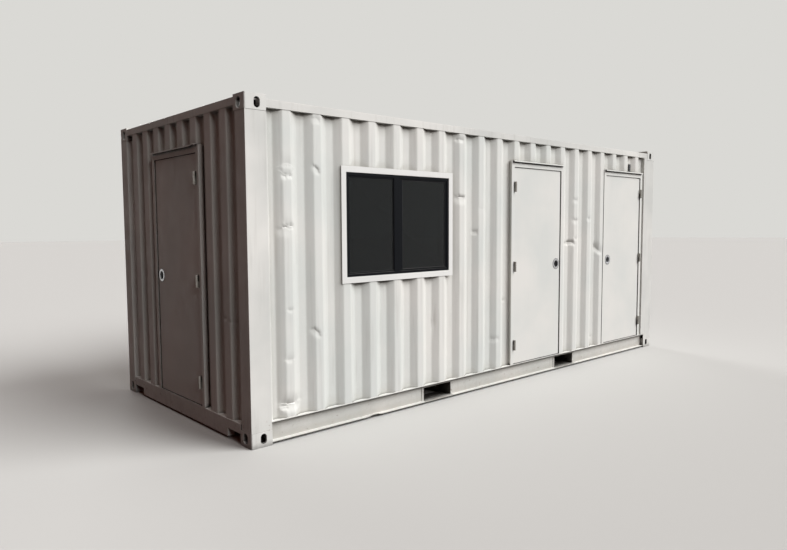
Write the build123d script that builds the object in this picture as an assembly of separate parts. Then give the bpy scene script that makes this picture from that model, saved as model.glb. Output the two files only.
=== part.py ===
"""A site container: a 20 ft steel shipping container with three personnel doors and a sliding window.

Millimetres. X runs along the container, Y from the door side to the back, Z up from the level of
the corner castings' feet. The origin is the middle of the pattern of the four bottom castings.
"""
from build123d import *
import os

os.makedirs("parts", exist_ok=True)

# Overall size over the corner castings
LENGTH = 6058.0
WIDTH = 2438.0
HEIGHT = 2591.0

# Corner castings and their apertures
CASTING_LENGTH = 178.0
CASTING_WIDTH = 162.0
CASTING_HEIGHT = 118.0
CASTING_ROUND = 12.0
CASTING_FLOOR = 28.0
CASTING_WALL = 18.0
CASTING_CAP = 10.0
SLOT_INSET_X = 102.5
SLOT_INSET_Y = 89.5
SLOT_LENGTH = 124.5
SLOT_WIDTH = 63.5
FACE_SLOT_HEIGHT = 79.4
SIDE_SLOT_WIDTH = 51.0
END_SLOT_WIDTH = 63.5
END_SLOT_BEVEL = 17.0
FACE_SLOT_MIDDLE = 64.0

# Corner posts, pressed from plate: how far each reaches along the side and along the end
POST_PLATE = 6.0
POST_DEPTH = 2.0
POST_END_FACE = 146.0
POST_END_LIP = 21.0
LEFT_POST_SIDE_FACE = 178.0
LEFT_POST_LIP = 32.0
RIGHT_POST_SIDE_FACE = 251.0
RIGHT_POST_LIP = 46.0

# Rails
RAIL_DEPTH = 3.0
TOP_RAIL = 60.0
TOP_RAIL_WALL = 4.0
TOP_SIDE_RAIL_DROP = 33.0
TOP_END_RAIL_DROP = 15.0
BOTTOM_RAIL_BOTTOM = 20.0
SIDE_RAIL_TOP = 178.0
SIDE_RAIL_FLANGE = 46.0
SIDE_RAIL_PLATE = 5.0
END_RAIL_TOP = 160.0
END_RAIL_FLANGE = 58.0
END_RAIL_PLATE = 4.0
NOTCH_LENGTH = 205.0
NOTCH_TOP = 84.0

# Floor and the members under it
FLOOR_THICKNESS = 28.0
FLOOR_BOTTOM = 145.0
FLOOR_GAP = 2.0
MEMBER_BOTTOM = 23.0
MEMBER_FLANGE = 45.0
MEMBER_PLATE = 4.0
MEMBER_SPACING = 300.0
END_MEMBER_INSET = 215.0

# Forklift pockets
POCKETS_APART = 2080.0
POCKET_WIDTH = 360.0
POCKET_PLATE = 6.0
POCKET_TRIM = 25.0
POCKET_TRIM_PLATE = 4.0
POCKET_STRAP_DEPTH = 200.0

# Corrugated wall sheets: depth of the crests behind the castings' faces, and the bends
SHEET = 2.0
CREST_DEPTH = 6.0
SIDE_PITCH = 277.2
SIDE_CREST = 71.0
SIDE_SLOPE = 68.0
SIDE_CORRUGATION = 36.0
SIDE_FIRST_CREST = 316.0
END_PITCH = 250.0
END_CREST = 110.0
END_SLOPE = 18.0
END_CORRUGATION = 45.6

# Roof: stamped ribs
ROOF_SHEET = 2.0
ROOF_PANELS = 5
RIBS_PER_PANEL = 5
RIB_BASE = 130.0
RIB_HEIGHT = 20.0
ROOF_EDGE = 6.0
RIB_END_FLAT = 109.0

# Doors: leaf, frame and cap
LEAF_WIDTH = 820.0
LEAF_THICKNESS = 40.0
LEAF_SKIN = 2.0
LEAF_LIP = 16.0
LEAF_RECESS = 10.0
LEAF_END_GAP = 5.0
LEAF_SIDE_GAP = 8.0
STOP_GAP = 5.0
STIFFENERS = 4
STIFFENER_FLANGE = 40.0
FRAME_DEPTH = 2.0
FRAME_PLATE = 3.0
JAMB_WIDTH = 48.0
HEAD_HEIGHT = 61.0
FRAME_RETURN = 43.0
STOP_WIDTH = 25.0
SILL_HEIGHT = 5.0
CAP_REACH = 22.0
CAP_LIP = 12.0
CAP_PLATE = 3.0
CAP_INSET = 16.0
DOORS_APART = 1789.0
WALL_OVER_DOORS = 204.0

# Door hinges
HINGE_HEIGHT = 105.0
HINGE_INSET = 197.0
BARREL_RADIUS = 11.0
BARREL_GAP = 0.5
BARREL_STANDOFF = 12.0
WING_WIDTH = 7.0

# Door locks: a round flange and a square case let into the leaf, with a bar handle in a round dish
LOCK_FLANGE_RADIUS = 56.0
LOCK_FLANGE = 2.5
LOCK_CASE = 78.0
LOCK_CASE_DEEP = 26.0
LOCK_CASE_CLEARANCE = 0.3
LOCK_BACKSET = 65.0
DISH_RADIUS = 36.0
DISH_FLOOR = 14.0
BAR_LENGTH = 60.0
BAR_WIDTH = 16.0
BAR_THICKNESS = 13.0
BAR_BEVEL = 3.0
BAR_PROUD = 5.0
SHANK_WIDTH = 12.0
SHANK_CLEARANCE = 0.3

# Window
WINDOW_WIDTH = 1200.0
WINDOW_HEIGHT = 850.0
WINDOW_FROM_LEFT = 1504.5
WINDOW_SILL = 1222.0
SURROUND_FLANGE = 50.0
SURROUND_PLATE = 4.0
SURROUND_LEG = 60.0
WINDOW_FRAME_BAR = 24.0
WINDOW_FRAME_START = 8.0
WINDOW_FRAME_DEEP = 50.0
MULLION_WIDTH = 71.0
MULLION_FROM_LEFT = 592.0
SASH_STILE = 30.0
SASH_RAIL = 13.0
SASH_DEEP = 20.0
SASH_START = 14.0
SASH_CLEARANCE = 0.5
GLASS_THICKNESS = 6.0
FIXED_GLASS_START = 20.0
BEAD_WIDTH = 13.0
BEAD_THICKNESS = 6.0

# Small vent above the right-hand door
VENT_WIDTH = 36.0
VENT_HEIGHT = 100.0
VENT_DEEP = 15.0
VENT_FROM_RIGHT = 578.0
VENT_RISE = 6.0
VENT_SLOTS = 4
VENT_SLOT_HEIGHT = 8.0

half_length = LENGTH / 2
half_width = WIDTH / 2
side_reach = half_length - CASTING_LENGTH
end_reach = half_width - CASTING_WIDTH
end_wall_reach = half_width - POST_END_FACE - POST_END_LIP
top_side_rail_bottom = HEIGHT - TOP_SIDE_RAIL_DROP - TOP_RAIL
top_end_rail_bottom = HEIGHT - TOP_END_RAIL_DROP - TOP_RAIL

# Each wall is drawn flat in its own view, seen from outside: X to the right, Y inwards from the
# castings' faces, Z up. These turn the four views to their places.
FRONT = Location((0, -half_width, 0))
BACK = Location((0, half_width, 0), (0, 0, 180))
LEFT_END = Location((-half_length, 0, 0), (0, 0, -90))
RIGHT_END = Location((half_length, 0, 0), (0, 0, 90))


def save(name, *solids):
    """Writes one node as one file."""
    shape = solids[0] if len(solids) == 1 else Compound(list(solids))
    export_step(shape, f"parts/{name}.step")


def block(x, y, z):
    """A block between the low and the high end of each of its three ranges."""
    middle = ((x[0] + x[1]) / 2, (y[0] + y[1]) / 2, (z[0] + z[1]) / 2)
    return Pos(*middle) * Box(x[1] - x[0], y[1] - y[0], z[1] - z[0])


def bent_plate(points, thickness):
    """The section of a plate bent along the points, its thickness to the left, its bends mitred."""
    line = [Vector(u, v) for u, v in points]
    runs = [(b - a).normalized() for a, b in zip(line, line[1:])]
    lefts = [Vector(-run.Y, run.X) for run in runs]
    inner = []
    for i, point in enumerate(line):
        before = lefts[max(i - 1, 0)]
        after = lefts[min(i, len(lefts) - 1)]
        mitre = (before + after).normalized()
        inner.append(point + mitre * (thickness / mitre.dot(before)))
    return make_face(Polyline(*line, *reversed(inner), close=True))


def raised(section, z):
    """A plan section extruded from the low to the high end of a range of heights."""
    return Pos(0, 0, z[0]) * extrude(section, amount=z[1] - z[0])


def across(section, x):
    """A section drawn with depth to the right and height up, run along X over a range."""
    plane = Plane(origin=(x[0], 0, 0), x_dir=(0, 1, 0), z_dir=(1, 0, 0))
    return extrude(plane * section, amount=x[1] - x[0])


class Corrugation:
    """Trapezoid bends of a wall sheet: crests near the castings' faces, valleys behind them."""

    def __init__(self, pitch, crest, slope, depth, first_crest):
        self.pitch = pitch
        self.crest = crest
        self.slope = slope
        self.depth = depth
        self.first_crest = first_crest

    def depth_at(self, along):
        """How deep the outer surface lies behind the castings' faces."""
        past = (along - self.first_crest) % self.pitch
        from_crest = max(0, min(past - self.crest, self.pitch - past))
        return CREST_DEPTH + self.depth * min(1, from_crest / self.slope)

    def valley_near(self, along):
        """The middle of the valley nearest to a place along the wall."""
        middle = self.first_crest + (self.crest + self.pitch) / 2
        return middle + round((along - middle) / self.pitch) * self.pitch

    def sheet(self, x, z):
        """The sheet over a range along the wall and a range of heights."""
        first = int((x[0] - self.first_crest) // self.pitch)
        last = int((x[1] - self.first_crest) // self.pitch) + 1
        steps = (0, self.crest, self.crest + self.slope, self.pitch - self.slope)
        bends = [self.first_crest + k * self.pitch + step for k in range(first, last + 1) for step in steps]
        beyond = (x[0] - 2 * SHEET, x[1] + 2 * SHEET)
        inside = [bend for bend in bends if beyond[0] + 1 < bend < beyond[1] - 1]
        line = [(along, self.depth_at(along)) for along in (beyond[0], *inside, beyond[1])]
        strip = Pos((x[0] + x[1]) / 2, 0) * Rectangle(x[1] - x[0], 4 * (CREST_DEPTH + self.depth))
        return raised(bent_plate(line, SHEET) & strip, z)


side_bends = Corrugation(SIDE_PITCH, SIDE_CREST, SIDE_SLOPE, SIDE_CORRUGATION, SIDE_FIRST_CREST - half_length)
end_valley = END_PITCH - END_CREST - 2 * END_SLOPE
end_bends = Corrugation(END_PITCH, END_CREST, END_SLOPE, END_CORRUGATION, end_valley / 2 + END_SLOPE)
side_valley_depth = CREST_DEPTH + SIDE_CORRUGATION
end_valley_depth = CREST_DEPTH + END_CORRUGATION


def casting():
    """The bottom casting of the left front corner: a hollow block with three apertures."""
    x0, y0 = -half_length, -half_width
    body = block((x0, x0 + CASTING_LENGTH), (y0, y0 + CASTING_WIDTH), (0, CASTING_HEIGHT))
    outer_corner = body.edges().filter_by(Axis.Z).sort_by(lambda edge: edge.center().X + edge.center().Y)[0]
    body = fillet(outer_corner, CASTING_ROUND)
    hollow = block(
        (x0 + CASTING_WALL, x0 + CASTING_LENGTH - CASTING_WALL),
        (y0 + CASTING_WALL, y0 + CASTING_WIDTH - CASTING_WALL),
        (CASTING_FLOOR, CASTING_HEIGHT - CASTING_CAP),
    )
    slot_x, slot_y = x0 + SLOT_INSET_X, y0 + SLOT_INSET_Y
    foot_slot = Pos(slot_x, slot_y, 0) * extrude(SlotOverall(SLOT_LENGTH, SLOT_WIDTH), amount=CASTING_FLOOR)
    side_plane = Plane(origin=(slot_x, y0, FACE_SLOT_MIDDLE), x_dir=(0, 0, 1), z_dir=(0, 1, 0))
    side_slot = extrude(side_plane * SlotOverall(FACE_SLOT_HEIGHT, SIDE_SLOT_WIDTH), amount=CASTING_WALL)
    end_plane = Plane(origin=(x0, slot_y, FACE_SLOT_MIDDLE), x_dir=(0, 0, 1), z_dir=(1, 0, 0))
    shield = Rectangle(FACE_SLOT_HEIGHT, END_SLOT_WIDTH)
    shield = chamfer(shield.vertices(), END_SLOT_BEVEL)
    end_slot = extrude(end_plane * shield, amount=CASTING_WALL)
    return body - hollow - foot_slot - side_slot - end_slot


def four_corners(shape):
    """A left front shape and its mirror images at the other three corners."""
    front = [shape, mirror(shape, about=Plane.YZ)]
    return front + [mirror(each, about=Plane.XZ) for each in front]


def post(side_face, lip):
    """A left front post in plan, bent round the corner, with a lip for the side wall to meet."""
    valley_x = -half_length + end_valley_depth
    x0, y0 = -half_length + POST_DEPTH, -half_width + POST_DEPTH
    side_x = -half_length + side_face
    lip_y = -half_width + side_valley_depth
    line = [
        (valley_x, -end_wall_reach),
        (valley_x, -half_width + POST_END_FACE),
        (x0, -half_width + POST_END_FACE),
        (x0, y0),
        (side_x, y0),
        (side_x, lip_y),
        (side_x + lip, lip_y),
    ]
    top = top_end_rail_bottom
    body = raised(bent_plate(line, POST_PLATE), (CASTING_HEIGHT, top))
    body -= block((-half_length, -side_reach), (-half_width, -end_reach), (HEIGHT - CASTING_HEIGHT, top))
    body -= block((-side_reach, 0), (-half_width, 0), (top_side_rail_bottom, top))
    body -= block((-side_reach, 0), (-half_width, 0), (CASTING_HEIGHT, SIDE_RAIL_TOP))
    return body - block((-half_length, 0), (-end_reach, 0), (CASTING_HEIGHT, END_RAIL_TOP))


def tube(depth, low, reach):
    """A square top rail seen from outside, between the castings."""
    outer = block((-reach, reach), (depth, depth + TOP_RAIL), (low, low + TOP_RAIL))
    near, far = TOP_RAIL_WALL, TOP_RAIL - TOP_RAIL_WALL
    return outer - block((-reach, reach), (depth + near, depth + far), (low + near, low + far))


pocket_middles = (-POCKETS_APART / 2, POCKETS_APART / 2)
pocket_half = POCKET_WIDTH / 2
web_face = RAIL_DEPTH + SIDE_RAIL_FLANGE - SIDE_RAIL_PLATE
web_back = RAIL_DEPTH + SIDE_RAIL_FLANGE


def bottom_side_rail():
    """A channel with its flanges outwards, cut away at the forklift pockets."""
    line = [
        (RAIL_DEPTH, BOTTOM_RAIL_BOTTOM),
        (web_back, BOTTOM_RAIL_BOTTOM),
        (web_back, SIDE_RAIL_TOP),
        (RAIL_DEPTH, SIDE_RAIL_TOP),
    ]
    rail = across(bent_plate(line, SIDE_RAIL_PLATE), (-side_reach, side_reach))
    for middle in pocket_middles:
        half = pocket_half + POCKET_PLATE
        rail -= block((middle - half, middle + half), (0, web_back), (BOTTOM_RAIL_BOTTOM, FLOOR_BOTTOM))
    return rail


def pocket_frame(middle):
    """The cheeks, the trim on the rail's web and the strap under one mouth of a forklift pocket."""
    outer = pocket_half + POCKET_PLATE
    low = BOTTOM_RAIL_BOTTOM
    under = (low, low + POCKET_PLATE)
    frame = block((middle - outer, middle + outer), (RAIL_DEPTH, POCKET_STRAP_DEPTH), under)
    trim_face = web_face - POCKET_TRIM_PLATE
    for side in (-1, 1):
        edges = sorted((middle + side * pocket_half, middle + side * outer))
        frame += block(edges, (trim_face, POCKET_STRAP_DEPTH), (low, FLOOR_BOTTOM))
        edges = sorted((middle + side * pocket_half, middle + side * (pocket_half + POCKET_TRIM)))
        frame += block(edges, (trim_face, web_face), (low + SIDE_RAIL_PLATE, FLOOR_BOTTOM))
    return frame


def bottom_end_rail():
    """A channel with its web outwards, notched at both ends beside the castings, with lined notches."""
    back = POST_DEPTH + END_RAIL_FLANGE
    line = [
        (back, END_RAIL_TOP),
        (POST_DEPTH, END_RAIL_TOP),
        (POST_DEPTH, BOTTOM_RAIL_BOTTOM),
        (back, BOTTOM_RAIL_BOTTOM),
    ]
    rail = across(bent_plate(line, END_RAIL_PLATE), (-end_reach, end_reach))
    for side in (-1, 1):
        ends = sorted((side * (end_reach - NOTCH_LENGTH), side * end_reach))
        rail -= block(ends, (0, back), (BOTTOM_RAIL_BOTTOM, NOTCH_TOP))
        rail += block(ends, (POST_DEPTH, back), (NOTCH_TOP, NOTCH_TOP + END_RAIL_PLATE))
        cheek = side * (end_reach - NOTCH_LENGTH)
        cheek_ends = sorted((cheek, cheek - side * END_RAIL_PLATE))
        rail += block(cheek_ends, (POST_DEPTH, back), (BOTTOM_RAIL_BOTTOM, NOTCH_TOP + END_RAIL_PLATE))
    return rail


def member(x, side):
    """A channel across the floor with its web at x and its flanges to one side."""
    line = [
        (x + side * MEMBER_FLANGE, FLOOR_BOTTOM),
        (x, FLOOR_BOTTOM),
        (x, MEMBER_BOTTOM),
        (x + side * MEMBER_FLANGE, MEMBER_BOTTOM),
    ]
    if side < 0:
        line = line[::-1]
    reach = half_width - web_back
    section = Plane(origin=(0, -reach, 0), x_dir=(1, 0, 0), z_dir=(0, -1, 0)) * bent_plate(line, MEMBER_PLATE)
    return extrude(section, amount=-2 * reach)


def members():
    """Channels beside the forklift pockets, and evenly between them and out to the ends."""
    beside = pocket_half + POCKET_PLATE
    webs = [(middle + side * beside, side) for middle in pocket_middles for side in (-1, 1)]
    inner = POCKETS_APART / 2 - beside
    count = round(2 * inner / MEMBER_SPACING)
    webs += [(-inner + 2 * inner * k / count, 1) for k in range(1, count)]
    start = POCKETS_APART / 2 + beside
    end = half_length - END_MEMBER_INSET
    count = round((end - start) / MEMBER_SPACING)
    for k in range(1, count + 1):
        x = start + (end - start) * k / count
        webs += [(x, -1), (-x, 1)]
    return [member(x, side) for x, side in webs]


def floor():
    """The floor boards as one slab between the rails."""
    x_end = half_length - POST_DEPTH - END_RAIL_FLANGE - FLOOR_GAP
    y_end = half_width - web_back - FLOOR_GAP
    return block((-x_end, x_end), (-y_end, y_end), (FLOOR_BOTTOM, FLOOR_BOTTOM + FLOOR_THICKNESS))


roof_bottom = top_side_rail_bottom + TOP_RAIL


def rib(base, length, low, high):
    """A stamped rib's form, its four sides leaning in at 45 degrees."""
    return Pos(0, 0, low) * extrude(Rectangle(base, length), amount=high - low, taper=45)


def roof():
    """Panels welded to one sheet, run on to the end rails, with ribs stamped upwards across it."""
    y_end = half_width - ROOF_EDGE
    top = roof_bottom + ROOF_SHEET
    x_end = half_length - RAIL_DEPTH - TOP_RAIL
    sheet = block((-side_reach, side_reach), (-y_end, y_end), (roof_bottom, top))
    sheet += block((-x_end, x_end), (-end_reach, end_reach), (roof_bottom, top))
    length = 2 * (y_end - RIB_END_FLAT)
    panel = 2 * side_reach / ROOF_PANELS
    spacing = panel / RIBS_PER_PANEL
    middles = [-side_reach + spacing * (k + 0.5) for k in range(ROOF_PANELS * RIBS_PER_PANEL)]
    inset = 2 * ROOF_SHEET * (2**0.5 - 1)
    outer = rib(RIB_BASE, length, top, top + RIB_HEIGHT)
    base = (RIB_BASE + 2 * ROOF_SHEET - inset, length + 2 * ROOF_SHEET - inset)
    inner = rib(*base, roof_bottom, top + RIB_HEIGHT - ROOF_SHEET)
    sheet += [Pos(x, 0, 0) * outer for x in middles]
    sheet -= [Pos(x, 0, 0) * inner for x in middles]
    return sheet


opening_half = LEAF_WIDTH / 2 + LEAF_SIDE_GAP
frame_half = opening_half + JAMB_WIDTH
foot_height = SILL_HEIGHT + LEAF_END_GAP
frame_top = top_side_rail_bottom - WALL_OVER_DOORS
leaf_top = frame_top - HEAD_HEIGHT - LEAF_END_GAP
leaf_face = FRAME_DEPTH + LEAF_RECESS
leaf_back = leaf_face + LEAF_THICKNESS
stop_face = leaf_back + STOP_GAP
hinge_x = (LEAF_WIDTH + LEAF_SIDE_GAP) / 2
hinge_depth = FRAME_DEPTH - BARREL_STANDOFF
lock_height = (SIDE_RAIL_TOP + foot_height + leaf_top) / 2

door_2_middle = half_length - RIGHT_POST_SIDE_FACE - RIGHT_POST_LIP - frame_half
door_1_middle = door_2_middle - DOORS_APART


def arch(inner, outer, top_inner, top_outer, depth, bottom):
    """Two jambs and a head: a frame open at its foot, between two half widths and two heights."""
    whole = block((-outer, outer), depth, (bottom, top_outer))
    return whole - block((-inner, inner), depth, (bottom, top_inner))


def hinge_heights(rail_top):
    """Where the three hinges are on a door over the given bottom rail."""
    leaf_bottom = rail_top + foot_height
    return (leaf_bottom + HINGE_INSET, (leaf_bottom + leaf_top) / 2, leaf_top - HINGE_INSET)


def door_frame(bottom):
    """A pressed steel frame: face, outer return, reveal and stop, with a sill plate at its foot."""
    inner = opening_half
    top = leaf_top + LEAF_END_GAP
    plate = FRAME_PLATE
    back = stop_face + plate
    frame = arch(inner, frame_half, top, frame_top, (FRAME_DEPTH, FRAME_DEPTH + plate), bottom)
    returns = (FRAME_DEPTH, FRAME_DEPTH + FRAME_RETURN)
    frame += arch(frame_half - plate, frame_half, frame_top - plate, frame_top, returns, bottom)
    frame += arch(inner, inner + plate, top, top + plate, (FRAME_DEPTH, back), bottom)
    frame += arch(inner - STOP_WIDTH, inner + plate, top - STOP_WIDTH, top + plate, (stop_face, back), bottom)
    frame += block((-inner, inner), (FRAME_DEPTH, back), (bottom, bottom + SILL_HEIGHT))
    return frame


def door_cap():
    """A folded cap over the door's head with a lip turned down in front."""
    front = FRAME_DEPTH - CAP_REACH
    line = [
        (front, frame_top - CAP_LIP + CAP_PLATE),
        (front, frame_top + CAP_PLATE),
        (CREST_DEPTH, frame_top + CAP_PLATE),
    ]
    reach = frame_half - CAP_INSET
    return across(bent_plate(line[::-1], CAP_PLATE), (-reach, reach))


def door_leaf(hinge_side, rail_top):
    """A steel pan with folded edges, cross stiffeners inside and a square hole for the lock."""
    half = LEAF_WIDTH / 2
    leaf_bottom = rail_top + foot_height
    skin = LEAF_SKIN
    leaf = block((-half, half), (leaf_face, leaf_back), (leaf_bottom, leaf_top))
    inside = (leaf_bottom + skin, leaf_top - skin)
    leaf -= block((skin - half, half - skin), (leaf_face + skin, leaf_back - skin), inside)
    mouth = (leaf_bottom + LEAF_LIP, leaf_top - LEAF_LIP)
    leaf -= block((LEAF_LIP - half, half - LEAF_LIP), (leaf_back - skin, leaf_back), mouth)
    for k in range(1, STIFFENERS + 1):
        z = leaf_bottom + (leaf_top - leaf_bottom) * k / (STIFFENERS + 1)
        leaf += block((-half, half), (leaf_face, leaf_back), (z, z + skin))
        leaf += block((-half, half), (leaf_back - skin, leaf_back), (z, z + STIFFENER_FLANGE))
    return leaf - lock_square(hinge_side, LOCK_CASE / 2 + LOCK_CASE_CLEARANCE, (leaf_face, leaf_face + skin))


def lock_x(hinge_side):
    """Where the lock's axis is across the leaf, on the side away from the hinges."""
    return -hinge_side * (LEAF_WIDTH / 2 - LOCK_BACKSET)


def lock_cylinder(hinge_side, radius, depth):
    """A round form about the lock's axis, over a range of depths."""
    plane = Plane(origin=(lock_x(hinge_side), depth[0], lock_height), x_dir=(1, 0, 0), z_dir=(0, 1, 0))
    return extrude(plane * Circle(radius), amount=depth[1] - depth[0])


def lock_square(hinge_side, half, depth):
    """A square form about the lock's axis, over a range of depths."""
    x = lock_x(hinge_side)
    return block((x - half, x + half), depth, (lock_height - half, lock_height + half))


case_back = leaf_face + LOCK_CASE_DEEP
dish_floor = case_back - DISH_FLOOR


def lock_dish(hinge_side):
    """A flange on the leaf's face with a square case behind it, dished for the handle."""
    flange_face = leaf_face - LOCK_FLANGE
    lock = lock_cylinder(hinge_side, LOCK_FLANGE_RADIUS, (flange_face, leaf_face))
    lock += lock_square(hinge_side, LOCK_CASE / 2, (leaf_face, case_back))
    return lock - lock_cylinder(hinge_side, DISH_RADIUS, (flange_face, dish_floor))


def lock_handle(hinge_side):
    """An upright bar with bevelled front edges, on a square shank that turns over the dish's floor."""
    x = lock_x(hinge_side)
    front = leaf_face - BAR_PROUD
    back = front + BAR_THICKNESS
    z = (lock_height - BAR_LENGTH / 2, lock_height + BAR_LENGTH / 2)
    bar = block((x - BAR_WIDTH / 2, x + BAR_WIDTH / 2), (front, back), z)
    bar = chamfer(bar.faces().sort_by(Axis.Y)[0].edges(), BAR_BEVEL)
    return bar + lock_square(hinge_side, SHANK_WIDTH / 2, (back, dish_floor - SHANK_CLEARANCE))


def hinge_half(hinge_side, height, on_leaf):
    """One half of a hinge: a barrel round its pin, and a wing welded to the leaf or to the jamb."""
    half = HINGE_HEIGHT / 2
    gap = BARREL_GAP / 2
    z = (height + gap, height + half) if on_leaf else (height - half, height - gap)
    inward = -hinge_side if on_leaf else hinge_side
    barrel_edge = hinge_side * hinge_x + inward * BARREL_RADIUS
    x = sorted((barrel_edge, barrel_edge - inward * WING_WIDTH))
    seat = leaf_face if on_leaf else FRAME_DEPTH
    barrel = Pos(hinge_side * hinge_x, hinge_depth, 0) * raised(Circle(BARREL_RADIUS), z)
    return barrel + block(x, (hinge_depth, seat), z)


# The three doors: where each stands, and on which side its hinges are, seen from outside
DOORS = {
    "door_1": (FRONT * Pos(door_1_middle, 0, 0), -1, SIDE_RAIL_TOP),
    "door_2": (FRONT * Pos(door_2_middle, 0, 0), 1, SIDE_RAIL_TOP),
    "end_door": (LEFT_END, 1, END_RAIL_TOP),
}

window_middle = WINDOW_FROM_LEFT - half_length
window_half = WINDOW_WIDTH / 2
window_x = (window_middle - window_half, window_middle + window_half)
window_z = (WINDOW_SILL, WINDOW_SILL + WINDOW_HEIGHT)


def hoop(x, z, inset, depth):
    """A rectangular ring inside the given ranges, its bars as wide as the four insets say."""
    left, right, low, high = inset
    outer = block(x, depth, z)
    return outer - block((x[0] + left, x[1] - right), depth, (z[0] + low, z[1] - high))


def wider(ends, by):
    """A range made wider at both ends."""
    return (ends[0] - by, ends[1] + by)


def window_surround():
    """Steel angle round the window: a flange on the wall's crests and a leg into the opening."""
    plate = SURROUND_PLATE
    face = CREST_DEPTH - plate
    width = SURROUND_FLANGE
    ring = hoop(wider(window_x, width), wider(window_z, width), (width,) * 4, (face, CREST_DEPTH))
    leg = (face, face + SURROUND_LEG)
    return ring + hoop(wider(window_x, plate), wider(window_z, plate), (plate,) * 4, leg)


sash_left = window_x[0] + MULLION_FROM_LEFT + SASH_CLEARANCE
sash_x = (sash_left, window_x[1] - WINDOW_FRAME_BAR - SASH_CLEARANCE)
sash_z = wider(window_z, -WINDOW_FRAME_BAR - SASH_CLEARANCE)


fixed_x = (window_x[0] + WINDOW_FRAME_BAR, window_x[0] + MULLION_FROM_LEFT - MULLION_WIDTH)
fixed_z = wider(window_z, -WINDOW_FRAME_BAR)


def window_frame():
    """The outer frame of the window with the mullion and the fixed pane's bead."""
    depth = (WINDOW_FRAME_START, WINDOW_FRAME_START + WINDOW_FRAME_DEEP)
    frame = hoop(window_x, window_z, (WINDOW_FRAME_BAR,) * 4, depth)
    frame += block((fixed_x[1], fixed_x[1] + MULLION_WIDTH), depth, fixed_z)
    bead = (FIXED_GLASS_START - BEAD_THICKNESS, FIXED_GLASS_START)
    return frame + hoop(fixed_x, fixed_z, (BEAD_WIDTH, 0, BEAD_WIDTH, BEAD_WIDTH), bead)


def window_sash():
    """The sliding sash on the right."""
    inset = (SASH_STILE, SASH_RAIL, SASH_RAIL, SASH_RAIL)
    return hoop(sash_x, sash_z, inset, (SASH_START, SASH_START + SASH_DEEP))


def window_panes():
    """The fixed pane and the sash's pane."""
    fixed = block(fixed_x, (FIXED_GLASS_START, FIXED_GLASS_START + GLASS_THICKNESS), fixed_z)
    start = SASH_START + (SASH_DEEP - GLASS_THICKNESS) / 2
    moving_x = (sash_x[0] + SASH_STILE, sash_x[1] - SASH_RAIL)
    moving = block(moving_x, (start, start + GLASS_THICKNESS), wider(sash_z, -SASH_RAIL))
    return [fixed, moving]


def wall_vent():
    """A small slotted vent in a valley of the wall above the right-hand door."""
    x = side_bends.valley_near(half_length - VENT_FROM_RIGHT)
    bottom = frame_top + VENT_RISE
    face = side_valley_depth - VENT_DEEP
    half = VENT_WIDTH / 2
    vent = block((x - half, x + half), (face, side_valley_depth), (bottom, bottom + VENT_HEIGHT))
    spacing = VENT_HEIGHT / VENT_SLOTS
    for k in range(VENT_SLOTS):
        middle = bottom + spacing * (k + 0.5)
        z = (middle - VENT_SLOT_HEIGHT / 2, middle + VENT_SLOT_HEIGHT / 2)
        vent -= block((x - half / 2, x + half / 2), (face, side_valley_depth - SHEET), z)
    return vent


# Frame of the container
bottom_casting = casting()
upside_down = Plane(origin=(0, 0, HEIGHT / 2), z_dir=(0, 0, 1))
top_casting = mirror(bottom_casting, about=upside_down)
save("corner_castings_bottom", *four_corners(bottom_casting))
save("corner_castings_top", *four_corners(top_casting))

left_post = post(LEFT_POST_SIDE_FACE, LEFT_POST_LIP)
right_post = mirror(post(RIGHT_POST_SIDE_FACE, RIGHT_POST_LIP), about=Plane.YZ)
save("corner_posts_left", left_post, mirror(left_post, about=Plane.XZ))
save("corner_posts_right", right_post, mirror(right_post, about=Plane.XZ))

top_side_rail = tube(RAIL_DEPTH, top_side_rail_bottom, side_reach)
top_end_rail = tube(RAIL_DEPTH, top_end_rail_bottom, end_reach)
save("top_side_rails", FRONT * top_side_rail, BACK * top_side_rail)
save("top_end_rails", LEFT_END * top_end_rail, RIGHT_END * top_end_rail)
bottom_rail = bottom_side_rail()
save("bottom_side_rails", FRONT * bottom_rail, BACK * bottom_rail)
end_rail = bottom_end_rail()
save("bottom_end_rails", LEFT_END * end_rail, RIGHT_END * end_rail)
pockets = [pocket_frame(middle) for middle in pocket_middles]
save("forklift_pockets", *[side * each for side in (FRONT, BACK) for each in pockets])
save("cross_members", *members())
save("floor", floor())
save("roof", roof())

# Walls, split beside, over and under their openings
wall_z = (SIDE_RAIL_TOP, top_side_rail_bottom)
wall_left = -half_length + LEFT_POST_SIDE_FACE + LEFT_POST_LIP
hole_x = wider(window_x, SURROUND_PLATE)
hole_z = wider(window_z, SURROUND_PLATE)
door_1_x = (door_1_middle - frame_half, door_1_middle + frame_half)
door_2_x = (door_2_middle - frame_half, door_2_middle + frame_half)
over_doors_z = (frame_top, wall_z[1])

FRONT_WALLS = {
    "front_wall_left": (wall_left, hole_x[0], *wall_z),
    "front_wall_under_window": (*hole_x, wall_z[0], hole_z[0]),
    "front_wall_over_window": (*hole_x, hole_z[1], wall_z[1]),
    "front_wall_middle": (hole_x[1], door_1_x[0], *wall_z),
    "front_wall_between_doors": (door_1_x[1], door_2_x[0], *wall_z),
}
for name, (x_low, x_high, z_low, z_high) in FRONT_WALLS.items():
    save(name, FRONT * side_bends.sheet((x_low, x_high), (z_low, z_high)))
over_doors = [FRONT * side_bends.sheet(x, over_doors_z) for x in (door_1_x, door_2_x)]
save("front_wall_over_doors", *over_doors)
save("back_wall", mirror(FRONT * side_bends.sheet((wall_left, door_2_x[1]), wall_z), about=Plane.XZ))

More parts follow.
